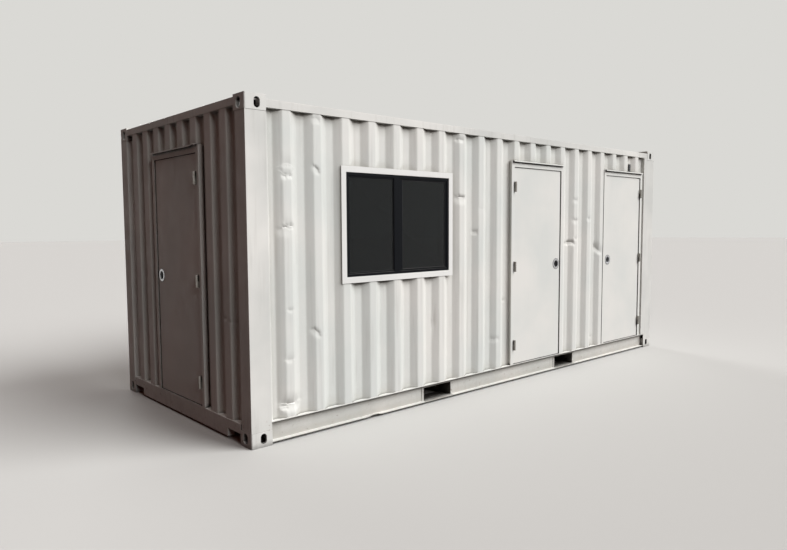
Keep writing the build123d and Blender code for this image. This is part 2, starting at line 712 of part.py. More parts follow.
end_z = (END_RAIL_TOP, top_end_rail_bottom)
beside_end_door = [(-end_wall_reach, -frame_half), (frame_half, end_wall_reach)]
save("end_wall_beside_door", *[LEFT_END * end_bends.sheet(x, end_z) for x in beside_end_door])
save("end_wall_over_door", LEFT_END * end_bends.sheet((-frame_half, frame_half), (frame_top, end_z[1])))
save("right_end_wall", RIGHT_END * end_bends.sheet((-end_wall_reach, end_wall_reach), end_z))

# Doors
fixed_hinges = []
caps = []
for name, (place, hinge_side, rail_top) in DOORS.items():
    save(f"{name}_frame", place * door_frame(rail_top))
    save(f"{name}_leaf", place * door_leaf(hinge_side, rail_top))
    save(f"{name}_lock_dish", place * lock_dish(hinge_side))
    save(f"{name}_handle", place * lock_handle(hinge_side))
    heights = hinge_heights(rail_top)
    save(f"{name}_hinges", *[place * hinge_half(hinge_side, z, True) for z in heights])
    fixed_hinges += [place * hinge_half(hinge_side, z, False) for z in heights]
    caps.append(place * door_cap())
save("frame_hinges", *fixed_hinges)
save("door_caps", *caps)

# Window and vent
save("window_surround", FRONT * window_surround())
save("window_frame", FRONT * window_frame())
save("window_sash", FRONT * window_sash())
save("window_glass", *[FRONT * pane for pane in window_panes()])
save("wall_vent", FRONT * wall_vent())
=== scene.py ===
"""The looks of a site container: finishes, dented walls, seams and fittings, with camera and light.

Metres, in the model's own frame: X along the container away from the end door, Y from the wall with
the window to the plain back wall, Z up from the ground.
"""

import logging
import math
from contextlib import contextmanager
from dataclasses import dataclass
from enum import Enum
from functools import lru_cache
from itertools import product
from typing import Any, Callable, Iterator, Optional, Sequence

import bmesh
import bpy
from mathutils import Matrix, Vector

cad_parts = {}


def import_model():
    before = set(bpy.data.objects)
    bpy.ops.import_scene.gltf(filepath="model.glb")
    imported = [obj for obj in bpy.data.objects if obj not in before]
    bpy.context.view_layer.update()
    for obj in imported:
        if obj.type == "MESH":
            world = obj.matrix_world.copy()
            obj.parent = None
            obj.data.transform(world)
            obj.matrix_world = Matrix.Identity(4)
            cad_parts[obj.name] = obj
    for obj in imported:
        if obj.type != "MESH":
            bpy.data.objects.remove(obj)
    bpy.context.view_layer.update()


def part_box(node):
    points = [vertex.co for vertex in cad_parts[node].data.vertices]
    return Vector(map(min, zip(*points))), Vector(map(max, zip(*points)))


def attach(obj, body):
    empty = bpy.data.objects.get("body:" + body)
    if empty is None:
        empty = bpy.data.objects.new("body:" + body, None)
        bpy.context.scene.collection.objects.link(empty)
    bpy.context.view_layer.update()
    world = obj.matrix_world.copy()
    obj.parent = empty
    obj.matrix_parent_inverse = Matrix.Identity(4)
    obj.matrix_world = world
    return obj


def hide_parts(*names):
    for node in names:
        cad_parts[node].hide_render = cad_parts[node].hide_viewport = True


log = logging.getLogger("site_container")

CONTAINER = "container"
DOORS = ("door_1", "door_2", "end_door")
HALF_LENGTH = 3.029
HALF_WIDTH = 1.219

# In metres. Points of a CAD mesh are one point when they are nearer than MERGED, and points of a finished
# one when nearer than SAME. A shorter edge than COLLAPSED goes, and one that rises over CLIMBING isn't level.
MERGED, SAME, COLLAPSED, CLIMBING = 0.00002, 0.00001, 0.00003, 0.001
# The turns between two faces: up to FLAT they are one face, and from the others on they make a bend, a
# sharp edge and an edge that shows in the shading.
FLAT, BENT, SHARP, SHADED = (math.radians(angle) for angle in (0.4, 15, 30, 32))
# How well a face has to face a direction, as a cosine.
FACING = 0.9
# In radii of a bend: how wide its two faces and how long its edge have to be.
BEND_WIDTH, BEND_LENGTH = 2.2, 4
BEND_SEGMENTS, EDGE_SEGMENTS = 3, 2

Point = tuple[float, float, float]
Range = tuple[float, float]
Nodes = bpy.types.NodeTree
Socket = bpy.types.NodeSocket


def linear(hex_colour: str) -> tuple[float, float, float, float]:
    """Turns an sRGB colour, as #RRGGBB, into Blender's linear one with an alpha of 1."""
    parts = [int(hex_colour[i : i + 2], 16) / 255 for i in (1, 3, 5)]
    return tuple(c / 12.92 if c <= 0.04045 else ((c + 0.055) / 1.055) ** 2.4 for c in parts) + (1.0,)


def per_metre(size_mm: float) -> float:
    """Gives the scale at which a pattern's features are about size_mm across."""
    return 1000.0 / size_mm


class Kind(Enum):
    """The kinds of shader node in use: the node's type, its settings and the output that is wanted."""

    PLACE = ("ShaderNodeTexCoord", {}, "Object")
    STRETCH = ("ShaderNodeMapping", {}, "Vector")
    NORMAL = ("ShaderNodeNewGeometry", {}, "Normal")
    UPWARD = ("ShaderNodeSeparateXYZ", {}, "Z")
    OPENNESS = ("ShaderNodeAmbientOcclusion", {"samples": 8}, "AO")
    NOISE = ("ShaderNodeTexNoise", {}, 0)
    CELLS = ("ShaderNodeTexVoronoi", {}, "Distance")
    JOINTS = ("ShaderNodeTexBrick", {"offset": 0.0}, "Fac")
    BUMP = ("ShaderNodeBump", {}, "Normal")
    MULTIPLY = ("ShaderNodeMath", {"operation": "MULTIPLY"}, "Value")
    MAXIMUM = ("ShaderNodeMath", {"operation": "MAXIMUM"}, "Value")
    # Takes the value at 0 from between 1 and 2 to between 3 and 4.
    FADE = ("ShaderNodeMapRange", {"clamp": True}, "Result")
    # Input 0 is the upper colour's share, 6 the lower colour and 7 the upper one.
    MIX = ("ShaderNodeMix", {"data_type": "RGBA"}, 2)
    CAMERA_RAY = ("ShaderNodeLightPath", {}, "Is Camera Ray")
    GLOSSY_RAY = ("ShaderNodeLightPath", {}, "Is Glossy Ray")
    TRANSMISSION_RAY = ("ShaderNodeLightPath", {}, "Is Transmission Ray")


def add_node(tree: Nodes, kind: Kind, inputs: dict[Any, Any]) -> Socket:
    """Adds a shader node.

    Args:
        tree: The material's or world's node tree.
        kind: Which kind of node, with its settings.
        inputs: For each input, by name or number, a socket to link or a value to set.

    Returns:
        The output that this kind is used for.
    """
    node_type, settings, output = kind.value
    node = tree.nodes.new(node_type)
    for name, value in settings.items():
        setattr(node, name, value)
    for key, value in inputs.items():
        if isinstance(value, Socket):
            tree.links.new(value, node.inputs[key])
        else:
            node.inputs[key].default_value = value
    return node.outputs[output]


def patches(tree: Nodes, place: Socket, size_mm: float, limits: Range, share: Range = (0.0, 1.0),
            detail: float = 3.0) -> Socket:
    """Draws patches about size_mm across.

    Args:
        tree: The material's node tree.
        place: Where the pattern is looked up.
        size_mm: About how wide a patch is, in mm.
        limits: The range of the noise over which a patch fades in.
        share: What the pattern gives outside a patch and inside it.
        detail: How ragged the patches are.

    Returns:
        The pattern's value.
    """
    noise = add_node(tree, Kind.NOISE, {"Vector": place, "Scale": per_metre(size_mm), "Detail": detail})
    return add_node(tree, Kind.FADE, {0: noise, 1: limits[0], 2: limits[1], 3: share[0], 4: share[1]})


def relief(tree: Nodes, place: Socket, size_mm: float, depth_mm: float, detail: float = 2.0,
           under: Optional[Socket] = None) -> Socket:
    """Draws bumps about size_mm across, over another relief if there is one.

    Args:
        tree: The material's node tree.
        place: Where the pattern is looked up.
        size_mm: About how wide a bump is, in mm.
        depth_mm: How deep the relief is, in mm.
        detail: How ragged the bumps are.
        under: The coarser relief that this one lies on.

    Returns:
        The surface's normal.
    """
    noise = add_node(tree, Kind.NOISE, {"Vector": place, "Scale": per_metre(size_mm), "Detail": detail})
    lift = {"Height": noise, "Distance": depth_mm / 1000.0}
    if under is not None:
        lift["Normal"] = under
    return add_node(tree, Kind.BUMP, lift)


@dataclass(frozen=True)
class Finish:
    """A surface finish: what the real one is made of, and what the eye sees of it."""

    name: str
    colour: str
    roughness: float
    metallic: float = 0.0

    def material(self) -> bpy.types.Material:
        """Builds the node material: the common shader first, then what this finish adds.

        Returns:
            The material.
        """
        material = bpy.data.materials.new(self.name)
        material.use_nodes = True
        tree = material.node_tree
        shader = tree.nodes["Principled BSDF"]
        shader.inputs["Base Color"].default_value = linear(self.colour)
        shader.inputs["Roughness"].default_value = self.roughness
        shader.inputs["Metallic"].default_value = self.metallic
        for name, pattern in self.dress(tree, shader, add_node(tree, Kind.PLACE, {})).items():
            tree.links.new(pattern, shader.inputs[name])
        return material

    def dress(self, tree: Nodes, shader: bpy.types.Node, place: Socket) -> dict[str, Socket]:
        """Gives this finish's pattern, wear and bump, by the shader's input."""
        return {}

    def layered(self, tree: Nodes, *layers: tuple[Socket, str]) -> Socket:
        """Lays other colours over the finish's own, from the lowest up.

        Args:
            tree: The material's node tree.
            layers: For each layer, how much of it there is, and its colour.

        Returns:
            The colour.
        """
        colour = linear(self.colour)
        for share, upper in layers:
            colour = add_node(tree, Kind.MIX, {0: share, 6: colour, 7: linear(upper)})
        return colour

    def sheen(self, tree: Nodes, place: Socket, size_mm: float, glossier: float, duller: float,
              detail: float = 3.0) -> Socket:
        """Gives the roughness in patches, some glossier and some duller than the finish is on the whole."""
        ends = (self.roughness - glossier, self.roughness + duller)
        return patches(tree, place, size_mm, (0.3, 0.7), ends, detail)


@dataclass(frozen=True)
class ContainerPaint(Finish):
    """Alkyd topcoat sprayed on primed steel: a light grey with a low sheen that chalks in patches.

    The eye sees an even matt skin over slightly wavy plate, faint rain streaks down it, road dirt thrown
    up along its foot, and rust where a corner has lost its paint. Painted shade in the dirt's colour darkens
    where flanges and bends shelter the plate, and near black painted shade fills hollows and crevices.
    """

    chalk: str = "#E3E2DD"
    # This dirt colour serves the real streaks and splashed dirt, and also the painted shade under flanges.
    grime_and_shade: str = "#857F74"
    rust: str = "#6A3F27"
    cavity: str = "#1D1A17"
    gloss: float = 0.16
    splash: float = 0.24
    streaking: float = 0.16
    soiling: float = 0.12
    rusting: float = 0.0
    # film gives painted shade where the plate is sheltered, and the cavity settings painted shade in
    # crevices.
    film: float = 0.0
    wave_mm: float = 1.2
    cavity_mm: float = 0.0
    cavity_range: Range = (0.25, 0.6)
    cavity_share: float = 1.0
    chalk_mm: float = 700.0
    streak_mm: float = 35.0
    clot_mm: float = 60.0
    rust_mm: float = 26.0
    sheen_mm: float = 90.0
    plate_mm: float = 420.0
    peel_mm: float = 9.0
    flange_mm: float = 110.0

    def dress(self, tree: Nodes, shader: bpy.types.Node, place: Socket) -> dict[str, Socket]:
        """Gives chalking, streaks, splashed dirt, rust and the plate's waves."""
        shader.inputs["Specular IOR Level"].default_value = self.gloss
        chalky = patches(tree, place, self.chalk_mm, (0.35, 0.65))
        # Rain runs down in streaks a few centimetres wide and half a metre long.
        drawn = add_node(tree, Kind.STRETCH, {"Vector": place, "Scale": (1.0, 1.0, 0.06)})
        streaks = patches(tree, drawn, self.streak_mm, (0.56, 0.78), (0.0, self.streaking), 2.0)
        # Dirt splashed from the ground thins out with height and sits in clots.
        height = add_node(tree, Kind.UPWARD, {"Vector": place})
        foot = add_node(tree, Kind.FADE, {0: height, 1: 0.0, 2: self.splash, 3: 1.0, 4: 0.0})
        clots = patches(tree, place, self.clot_mm, (0.4, 0.7), (0.15 * self.soiling, self.soiling), 5.0)
        dirt = add_node(tree, Kind.MULTIPLY, {0: foot, 1: clots})
        layers = [(chalky, self.chalk), (streaks, self.grime_and_shade), (dirt, self.grime_and_shade)]
        if self.rusting:
            limit = 0.72 - 0.2 * self.rusting
            spots = patches(tree, place, self.rust_mm, (limit, limit + 0.05), (0.0, 0.85), 6.0)
            layers.append((add_node(tree, Kind.MULTIPLY, {0: spots, 1: foot}), self.rust))
        # Painted shade where flanges and bends shelter the plate.
        if self.film:
            layers.append((self.filmed(tree), self.grime_and_shade))
        # Painted shade, near black, in hollows and crevices.
        if self.cavity_mm:
            layers.append((self.hollows(tree), self.cavity))
        sheen = self.sheen(tree, place, self.sheen_mm, 0.06, 0.1)
        plate = relief(tree, place, self.plate_mm, self.wave_mm, 1.0)
        # The spray's orange peel is about 2 mm across; it is drawn at 9 mm so that it shows.
        peel = relief(tree, place, self.peel_mm, 0.06, 2.0, plate)
        return {"Base Color": self.layered(tree, *layers), "Roughness": sheen, "Normal": peel}

    def filmed(self, tree: Nodes) -> Socket:
        """Gives painted shade in the dirt colour where flanges shelter the plate, clear of what faces up."""
        openness = add_node(tree, Kind.OPENNESS, {"Distance": self.flange_mm / 1000.0})
        sheltered = add_node(tree, Kind.FADE, {0: openness, 1: 0.82, 2: 1.0, 3: self.film, 4: 0.0})
        # What faces up is left clear of the painted shade, as if lit from above.
        upward = add_node(tree, Kind.UPWARD, {"Vector": add_node(tree, Kind.NORMAL, {})})
        not_lit_from_above = add_node(tree, Kind.FADE, {0: upward, 1: 0.2, 2: 0.6, 3: 1.0, 4: 0.0})
        return add_node(tree, Kind.MULTIPLY, {0: sheltered, 1: not_lit_from_above})

    def hollows(self, tree: Nodes) -> Socket:
        """Gives near black painted shade in hollows and crevices, and the dirty insides of the castings."""
        openness = add_node(tree, Kind.OPENNESS, {"Distance": self.cavity_mm / 1000.0})
        closed, wide = self.cavity_range
        return add_node(tree, Kind.FADE, {0: openness, 1: closed, 2: wide, 3: self.cavity_share, 4: 0.0})


@dataclass(frozen=True)
class Bitumen(Finish):
    """Bitumen underseal brushed on the underside: near black, dull, with dried road dust on it."""

    dust: str = "#5C5347"
    dust_mm: float = 120.0
    brush_mm: float = 14.0

    def dress(self, tree: Nodes, shader: bpy.types.Node, place: Socket) -> dict[str, Socket]:
        """Gives dust in patches and a thick brushed relief."""
        dusty = patches(tree, place, self.dust_mm, (0.42, 0.7), (0.0, 0.6), 5.0)
        colour = self.layered(tree, (dusty, self.dust))
        return {"Base Color": colour, "Normal": relief(tree, place, self.brush_mm, 0.8, 4.0)}


@dataclass(frozen=True)
class Plywood(Finish):
    """Marine plywood floor, oiled and walked on: brown with a long grain, in sheets with dark joints."""

    late_wood: str = "#5E3F28"
    joint: str = "#241A12"
    sheet_mm: Range = (1170.0, 2320.0)
    joint_mm: float = 4.0
    grain_mm: float = 14.0
    scuff_mm: float = 150.0

    def dress(self, tree: Nodes, shader: bpy.types.Node, place: Socket) -> dict[str, Socket]:
        """Gives grain along the container, the joints between sheets and the wear."""
        along = add_node(tree, Kind.STRETCH, {"Vector": place, "Scale": (0.08, 1.0, 1.0)})
        grain = patches(tree, along, self.grain_mm, (0.35, 0.7), (0.0, 1.0), 6.0)
        joints = add_node(tree, Kind.JOINTS, {
            "Vector": place, "Scale": 1.0, "Mortar Size": self.joint_mm / 1000.0, "Mortar Smooth": 0.1,
            "Brick Width": self.sheet_mm[0] / 1000.0, "Row Height": self.sheet_mm[1] / 1000.0})
        colour = self.layered(tree, (grain, self.late_wood), (joints, self.joint))
        scuffed = self.sheen(tree, place, self.scuff_mm, 0.12, 0.1)
        return {"Base Color": colour, "Roughness": scuffed,
                "Normal": relief(tree, along, self.grain_mm, 0.4, 6.0)}


@dataclass(frozen=True)
class WornMetal(Finish):
    """Bare or plated metal that hands and weather have dulled: patchy sheen and darker stains."""

    stain: str = "#4A4640"
    stained: float = 0.5
    brushed: Point = (1.0, 1.0, 1.0)
    stain_mm: float = 18.0
    grain_mm: float = 3.0

    def dress(self, tree: Nodes, shader: bpy.types.Node, place: Socket) -> dict[str, Socket]:
        """Gives stains, a patchy sheen and the scratches of its brushing."""
        stains = patches(tree, place, self.stain_mm, (0.45, 0.7), (0.0, self.stained), 5.0)
        drawn = add_node(tree, Kind.STRETCH, {"Vector": place, "Scale": self.brushed})
        sheen = self.sheen(tree, drawn, self.grain_mm, 0.08, 0.12)
        return {"Base Color": self.layered(tree, (stains, self.stain)), "Roughness": sheen,
                "Normal": relief(tree, drawn, self.grain_mm, 0.04, 3.0)}


@dataclass(frozen=True)
class DustyCoat(Finish):
    """A moulded, powder-coated or rubber surface: fine even grain with a film of settled dust."""

    dust: str = "#6B6963"
    settled: float = 0.3
    filmed: float = 0.04
    gloss: float = 0.3
    cloud_mm: float = 45.0
    grain_mm: float = 4.0
    grain_depth_mm: float = 0.05

    def dress(self, tree: Nodes, shader: bpy.types.Node, place: Socket) -> dict[str, Socket]:
        """Gives dust, most of it on what faces up, and the grain."""
        shader.inputs["Specular IOR Level"].default_value = self.gloss
        upward = add_node(tree, Kind.UPWARD, {"Vector": add_node(tree, Kind.NORMAL, {})})
        lying = add_node(tree, Kind.FADE, {0: upward, 1: 0.2, 2: 0.9, 3: self.filmed, 4: self.settled})
        clouds = patches(tree, place, self.cloud_mm, (0.35, 0.65), (0.4, 1.0), 4.0)
        dusty = add_node(tree, Kind.MULTIPLY, {0: lying, 1: clouds})
        sheen = self.sheen(tree, place, self.grain_mm, 0.05, 0.06, 2.0)
        return {"Base Color": self.layered(tree, (dusty, self.dust)), "Roughness": sheen,
                "Normal": relief(tree, place, self.grain_mm, self.grain_depth_mm)}


@dataclass(frozen=True)
class TintedGlass(Finish):
    """Grey tinted float glass: nearly mirror smooth, dark against the unlit room, with dried rain on it."""

    film_mm: float = 30.0
    dot_mm: float = 16.0

    def dress(self, tree: Nodes, shader: bpy.types.Node, place: Socket) -> dict[str, Socket]:
        """Lets light through and gives the film and dots that rain leaves."""
        # Dried rain keeps back a little of the light.
        shader.inputs["Transmission Weight"].default_value = 0.92
        # The backdrop is pale, so the panes mirror less of it than real ones do, and stay dark.
        shader.inputs["IOR"].default_value = 1.33
        drawn = add_node(tree, Kind.STRETCH, {"Vector": place, "Scale": (1.0, 1.0, 0.15)})
        film = patches(tree, drawn, self.film_mm, (0.4, 0.75), (self.roughness, self.roughness + 0.07))
        # Rain dots are 3 to 5 mm across and are drawn at 16 mm so that they show.
        cells = add_node(tree, Kind.CELLS, {"Vector": place, "Scale": per_metre(self.dot_mm)})
        dots = add_node(tree, Kind.FADE, {0: cells, 1: 0.06, 2: 0.2, 3: 1.0, 4: 0.0})
        lift = add_node(tree, Kind.BUMP, {"Height": dots, "Distance": 0.00012})
        return {"Roughness": film, "Normal": lift}


def seen(tree: Nodes) -> Socket:
    """Gives 1 for rays from the camera and for what mirrors and glass show, else 0."""
    most = add_node(tree, Kind.CAMERA_RAY, {})
    for ray in (Kind.GLOSSY_RAY, Kind.TRANSMISSION_RAY):
        most = add_node(tree, Kind.MAXIMUM, {0: most, 1: add_node(tree, ray, {})})
    return most


@dataclass(frozen=True)
class StudioPaper(Finish):
    """The studio's matt floor: pale to the eye, and darker to the light that it throws back up."""

    shown: str = "#C2C2BF"

    def dress(self, tree: Nodes, shader: bpy.types.Node, place: Socket) -> dict[str, Socket]:
        """Gives the colour that is shown."""
        shader.inputs["Specular IOR Level"].default_value = 0.0
        return {"Base Color": self.layered(tree, (seen(tree), self.shown))}


# Its film and cavity settings paint shade on the sheet's slopes and valleys and under the rails.
WALL_PAINT = ContainerPaint(
    "alkyd_paint_on_corrugated_sheet", "#D7DAD6", 0.58, film=0.36, wave_mm=2.2, cavity_mm=45.0,
    cavity_range=(0.35, 0.75), cavity_share=0.75)
# A darker grey than the walls: partly weathering, and partly painted shade that holds back the stronger light
# on the roof.
ROOF_PAINT = ContainerPaint(
    "weathered_and_shaded_alkyd_paint_on_roof_sheet", "#BCBDB9", 0.68, chalk="#C8C7C2", streaking=0.08, wave_mm=2.6)
FRAME_PAINT = ContainerPaint("alkyd_paint_on_rolled_steel", "#CDCECA", 0.56, soiling=0.2, rusting=0.3)
# Its film paints shade under the top flange, and leaves what faces up bright.
RAIL_PAINT = ContainerPaint(
    "alkyd_paint_with_painted_shade_under_flanges", "#D3D5D1", 0.62, soiling=0.12, rusting=0.3, film=0.5)
# Its cavity settings paint shade inside the castings, which are dirty inside as well.
HOLLOW_PAINT = ContainerPaint(
    "alkyd_paint_on_hollow_castings", "#D5D6D2", 0.56, soiling=0.2, rusting=0.3, cavity_mm=110.0,
    cavity_range=(0.3, 0.75))
# Its wide cavity reach paints the shade deep inside the pockets.
POCKET_PAINT = ContainerPaint(
    "alkyd_paint_in_forklift_pockets", "#CFCFCA", 0.6, soiling=0.5, rusting=0.6, cavity_mm=420.0)
# Darker than the paint round it: it paints the shade line at each joint, along with dirt on the beads.
WELD_PAINT = ContainerPaint("alkyd_paint_on_weld_beads", "#AEADA8", 0.6, chalk="#BDBCB7", soiling=0.3)
DOOR_PAINT = ContainerPaint(
    "alkyd_paint_on_flat_door_sheet", "#D8DAD6", 0.55, streaking=0.02, soiling=0.1, wave_mm=1.6)
# A little lighter than the door paint, as painted highlight on the frames; the cavity settings paint shade
# under the caps and in the frames' crevices.
DOOR_FRAME_PAINT = ContainerPaint(
    "alkyd_paint_on_pressed_door_frames", "#DBDDD9", 0.55, streaking=0.04, soiling=0.15, cavity_mm=40.0,
    cavity_range=(0.5, 0.88))
SURROUND_PAINT = ContainerPaint(
    "fresh_alkyd_paint_on_steel_angle", "#E2E3E0", 0.5, chalk="#E9E9E6", streaking=0.04, soiling=0.1)
UNDERSEAL = Bitumen("bitumen_underseal", "#26231F", 0.82)
FLOOR_PLY = Plywood("oiled_marine_plywood", "#8A633F", 0.62)
HINGE_STEEL = WornMetal("dull_zinc_plated_steel", "#8A8782", 0.4, 1.0, stain="#6A645D")
LOCK_STEEL = WornMetal(
    "satin_stainless_steel", "#BDBEC0", 0.36, 1.0, stain="#9A9A99", stained=0.2, brushed=(1.0, 1.0, 0.08))
HANDLE_BLACK = DustyCoat("black_glass_filled_nylon", "#1B1D21", 0.42)
WINDOW_BLACK = DustyCoat(
    "black_powder_coated_aluminium", "#0F1115", 0.36, settled=0.6, filmed=0.008, gloss=0.07)
RUBBER = DustyCoat("black_epdm_rubber", "#17171A", 0.68)
VENT_GREY = DustyCoat("grey_abs_moulding", "#4B4D4F", 0.5)
GLASS = TintedGlass("grey_tinted_float_glass", "#4E5557", 0.02)
STUDIO_PAPER = StudioPaper("studio_floor_paper", "#231F1E", 0.9)


@lru_cache(maxsize=None)
def material_of(finish: Finish) -> bpy.types.Material:
    """Builds a finish's material once and gives it again after that."""
    return finish.material()


class Pick(Enum):
    """What is selected in edit mode."""

    VERTS = "VERT"
    EDGES = "EDGE"
    FACES = "FACE"


class Workpiece:
    """A mesh on the bench, shaped with Blender's modelling tools and then fitted to a body."""

    def __init__(self, name: str, obj: bpy.types.Object) -> None:
        """Takes an object as the workpiece and names it."""
        self.obj = obj
        self.obj.name = self.obj.data.name = name

    @classmethod
    def primitive(cls, name: str, add: Callable[..., Any], scale: Sequence[float] = (1.0, 1.0, 1.0),
                  **settings: Any) -> "Workpiece":
        """Starts from a primitive at its size and place.

        Args:
            name: The piece's name.
            add: The operator that adds the primitive.
            scale: What it is scaled by.
            settings: The operator's own settings.

        Returns:
            The piece.
        """
        bpy.ops.object.select_all(action="DESELECT")
        add(**settings)
        bpy.context.object.scale = scale
        bpy.ops.object.transform_apply(location=True, rotation=True, scale=True)
        return cls(name, bpy.context.object)

    @classmethod
    def block(cls, name: str, low: Sequence[float], high: Sequence[float]) -> "Workpiece":
        """Starts from a cube between two corners."""
        low, high = Vector(low), Vector(high)
        add = bpy.ops.mesh.primitive_cube_add
        return cls.primitive(name, add, high - low, size=1.0, location=(low + high) / 2)

    @classmethod
    def round_bar(cls, name: str, start: Vector, axis: Vector, length: float, radius: float,
                  sides: int) -> "Workpiece":
        """Starts from a cylinder that runs from a point along an axis."""
        return cls.primitive(
            name, bpy.ops.mesh.primitive_cylinder_add, vertices=sides, radius=radius, depth=length,
            location=start + axis.normalized() * (length / 2),
            rotation=axis.to_track_quat("Z", "Y").to_euler())

    @classmethod
    def from_node(cls, name: str, node: str) -> "Workpiece":
        """Starts from a copy of a CAD node, with its loose triangles merged into whole faces."""
        source = bpy.data.objects[node]
        obj = bpy.data.objects.new(name, source.data.copy())
        obj.data.materials.clear()
        bpy.context.scene.collection.objects.link(obj)
        piece = cls(name, obj)
        with piece.editing():
            bpy.ops.mesh.select_all(action="SELECT")
            bpy.ops.mesh.remove_doubles(threshold=MERGED)
            bpy.ops.mesh.dissolve_limited(angle_limit=FLAT)
        return piece

    def take_up(self) -> None:
        """Selects this piece alone and makes it the active one."""
        bpy.ops.object.select_all(action="DESELECT")
        self.obj.select_set(True)
        bpy.context.view_layer.objects.active = self.obj

    @contextmanager
    def editing(self) -> Iterator[None]:
        """Opens edit mode on this piece alone."""
        self.take_up()
        bpy.ops.object.mode_set(mode="EDIT")
        yield
        bpy.ops.object.mode_set(mode="OBJECT")

    def select(self, kind: Pick, test: Callable[[Any], bool]) -> int:
        """Selects what passes a test, and nothing else.

        Args:
            kind: Whether vertices, edges or faces are tested.
            test: Says whether an element is wanted.

        Returns:
            How many were selected.
        """
        bpy.ops.mesh.select_mode(type=kind.value)
        bpy.ops.mesh.select_all(action="DESELECT")
        mesh = bmesh.from_edit_mesh(self.obj.data)
        elements = {Pick.VERTS: mesh.verts, Pick.EDGES: mesh.edges, Pick.FACES: mesh.faces}[kind]
        chosen = [element for element in elements if not element.hide and test(element)]
        for element in chosen:
            element.select_set(True)
        mesh.select_flush_mode()
        bmesh.update_edit_mesh(self.obj.data)
        return len(chosen)

    def modify(self, kind: str, **settings: Any) -> None:
        """Adds a modifier with its settings and applies it."""
        self.take_up()
        modifier = self.obj.modifiers.new(kind.title(), kind)
        for name, value in settings.items():
            setattr(modifier, name, value)
        bpy.ops.object.modifier_apply(modifier=modifier.name)

    def round_bends(self, radius: float) -> None:
        """Rounds the edges where two wide faces meet, as a press brake bends plate."""

        def wide(edge: bmesh.types.BMEdge) -> bool:
            """Says whether an edge is a bend, between faces that stay a little flat beside it."""
            if len(edge.link_faces) != 2 or edge.calc_face_angle(0.0) < BENT:
                return False
            line = (edge.verts[1].co - edge.verts[0].co).normalized()
            for face in edge.link_faces:
                across = line.cross(face.normal)
                reach = max(abs((vert.co - edge.verts[0].co).dot(across)) for vert in face.verts)
                if reach < BEND_WIDTH * radius:
                    return False
            return edge.calc_length() > BEND_LENGTH * radius

        with self.editing():
            if self.select(Pick.EDGES, wide):
                bpy.ops.mesh.bevel(offset=radius, segments=BEND_SEGMENTS, affect="EDGES", clamp_overlap=True)

    def bend_lip(self, cuts: Sequence[float], cut_along: Vector, low: Sequence[float],
                 high: Sequence[float], lift: float, run_out: float) -> None:
        """Knocks a lip out of line: cuts it across first, so that it can bend, and moves what a box holds.

        Args:
            cuts: Where it is cut across, as distances along the cutting direction.
            cut_along: The direction in which the cuts follow each other.
            low: The box's lowest corner.
            high: The box's highest corner.
            lift: How far the knock lifts it.
            run_out: How far the bend runs out past the box.
        """
        with self.editing():
            for cut in cuts:
                bpy.ops.mesh.select_all(action="SELECT")
                bpy.ops.mesh.bisect(plane_co=cut_along * cut, plane_no=cut_along)
            if self.select(Pick.VERTS, lambda vert: all(a <= c <= b for a, c, b in zip(low, vert.co, high))):
                bpy.ops.transform.translate(
                    value=(0, 0, lift), use_proportional_edit=True, proportional_edit_falloff="SMOOTH",
                    proportional_size=run_out)

    def ring(self, axis: Vector, width: float) -> None:
        """Opens the piece along an axis, so that a ring of this width is left."""
        with self.editing():
            self.select(Pick.FACES, lambda face: abs(face.normal.dot(axis)) > FACING)
            bpy.ops.mesh.inset(thickness=width, depth=0.0)
            bpy.ops.mesh.bridge_edge_loops()

    def round_edges(self, radius: float) -> None:
        """Eases all sharp edges a little."""
        self.modify("BEVEL", width=radius, segments=EDGE_SEGMENTS, limit_method="ANGLE", angle_limit=SHARP)

    def clear_slivers(self) -> None:
        """Merges points that the rounding has left on one spot, and drops faces without area."""
        with self.editing():
            bpy.ops.mesh.select_all(action="SELECT")
            bpy.ops.mesh.remove_doubles(threshold=SAME)
            bpy.ops.mesh.dissolve_degenerate(threshold=COLLAPSED)

    def level_faces(self) -> None:
        """Keeps wide faces flat to the light, so that only their eased edges shade."""
        self.clear_slivers()
        self.smooth()
        # At the full weight of 100 the widest face at a point turns the light there.
        self.modify("WEIGHTED_NORMAL", keep_sharp=True, weight=100)

    def smooth(self) -> None:
        """Shades the piece smooth except at its sharp edges."""
        self.take_up()
        bpy.ops.object.shade_smooth_by_angle(angle=SHADED)

    def copy(self, name: str, shift: Vector) -> "Workpiece":
        """Gives a moved copy with its own mesh."""
        obj = self.obj.copy()
        obj.data = self.obj.data.copy()
        bpy.context.scene.collection.objects.link(obj)
        piece = Workpiece(name, obj)
        with piece.editing():
            bpy.ops.mesh.select_all(action="SELECT")
            bpy.ops.transform.translate(value=shift)
        return piece

    def fit(self, body: str, slot: str, finish: Finish, stands_for: Sequence[str] = ()) -> None:
        """Paints the finished piece and fits it to its body.

        Args:
            body: The body it moves with.
            slot: The record's material slot; not used.
            finish: Its surface finish.
            stands_for: The CAD nodes that it replaces.
        """
        if not self.obj.data.has_custom_normals:
            self.smooth()
        self.obj.data.materials.clear()
        self.obj.data.materials.append(material_of(finish))
        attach(self.obj, body)
        if stands_for:
            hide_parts(*stands_for)
        log.info("%s: %d faces on %s", self.obj.name, len(self.obj.data.polygons), body)


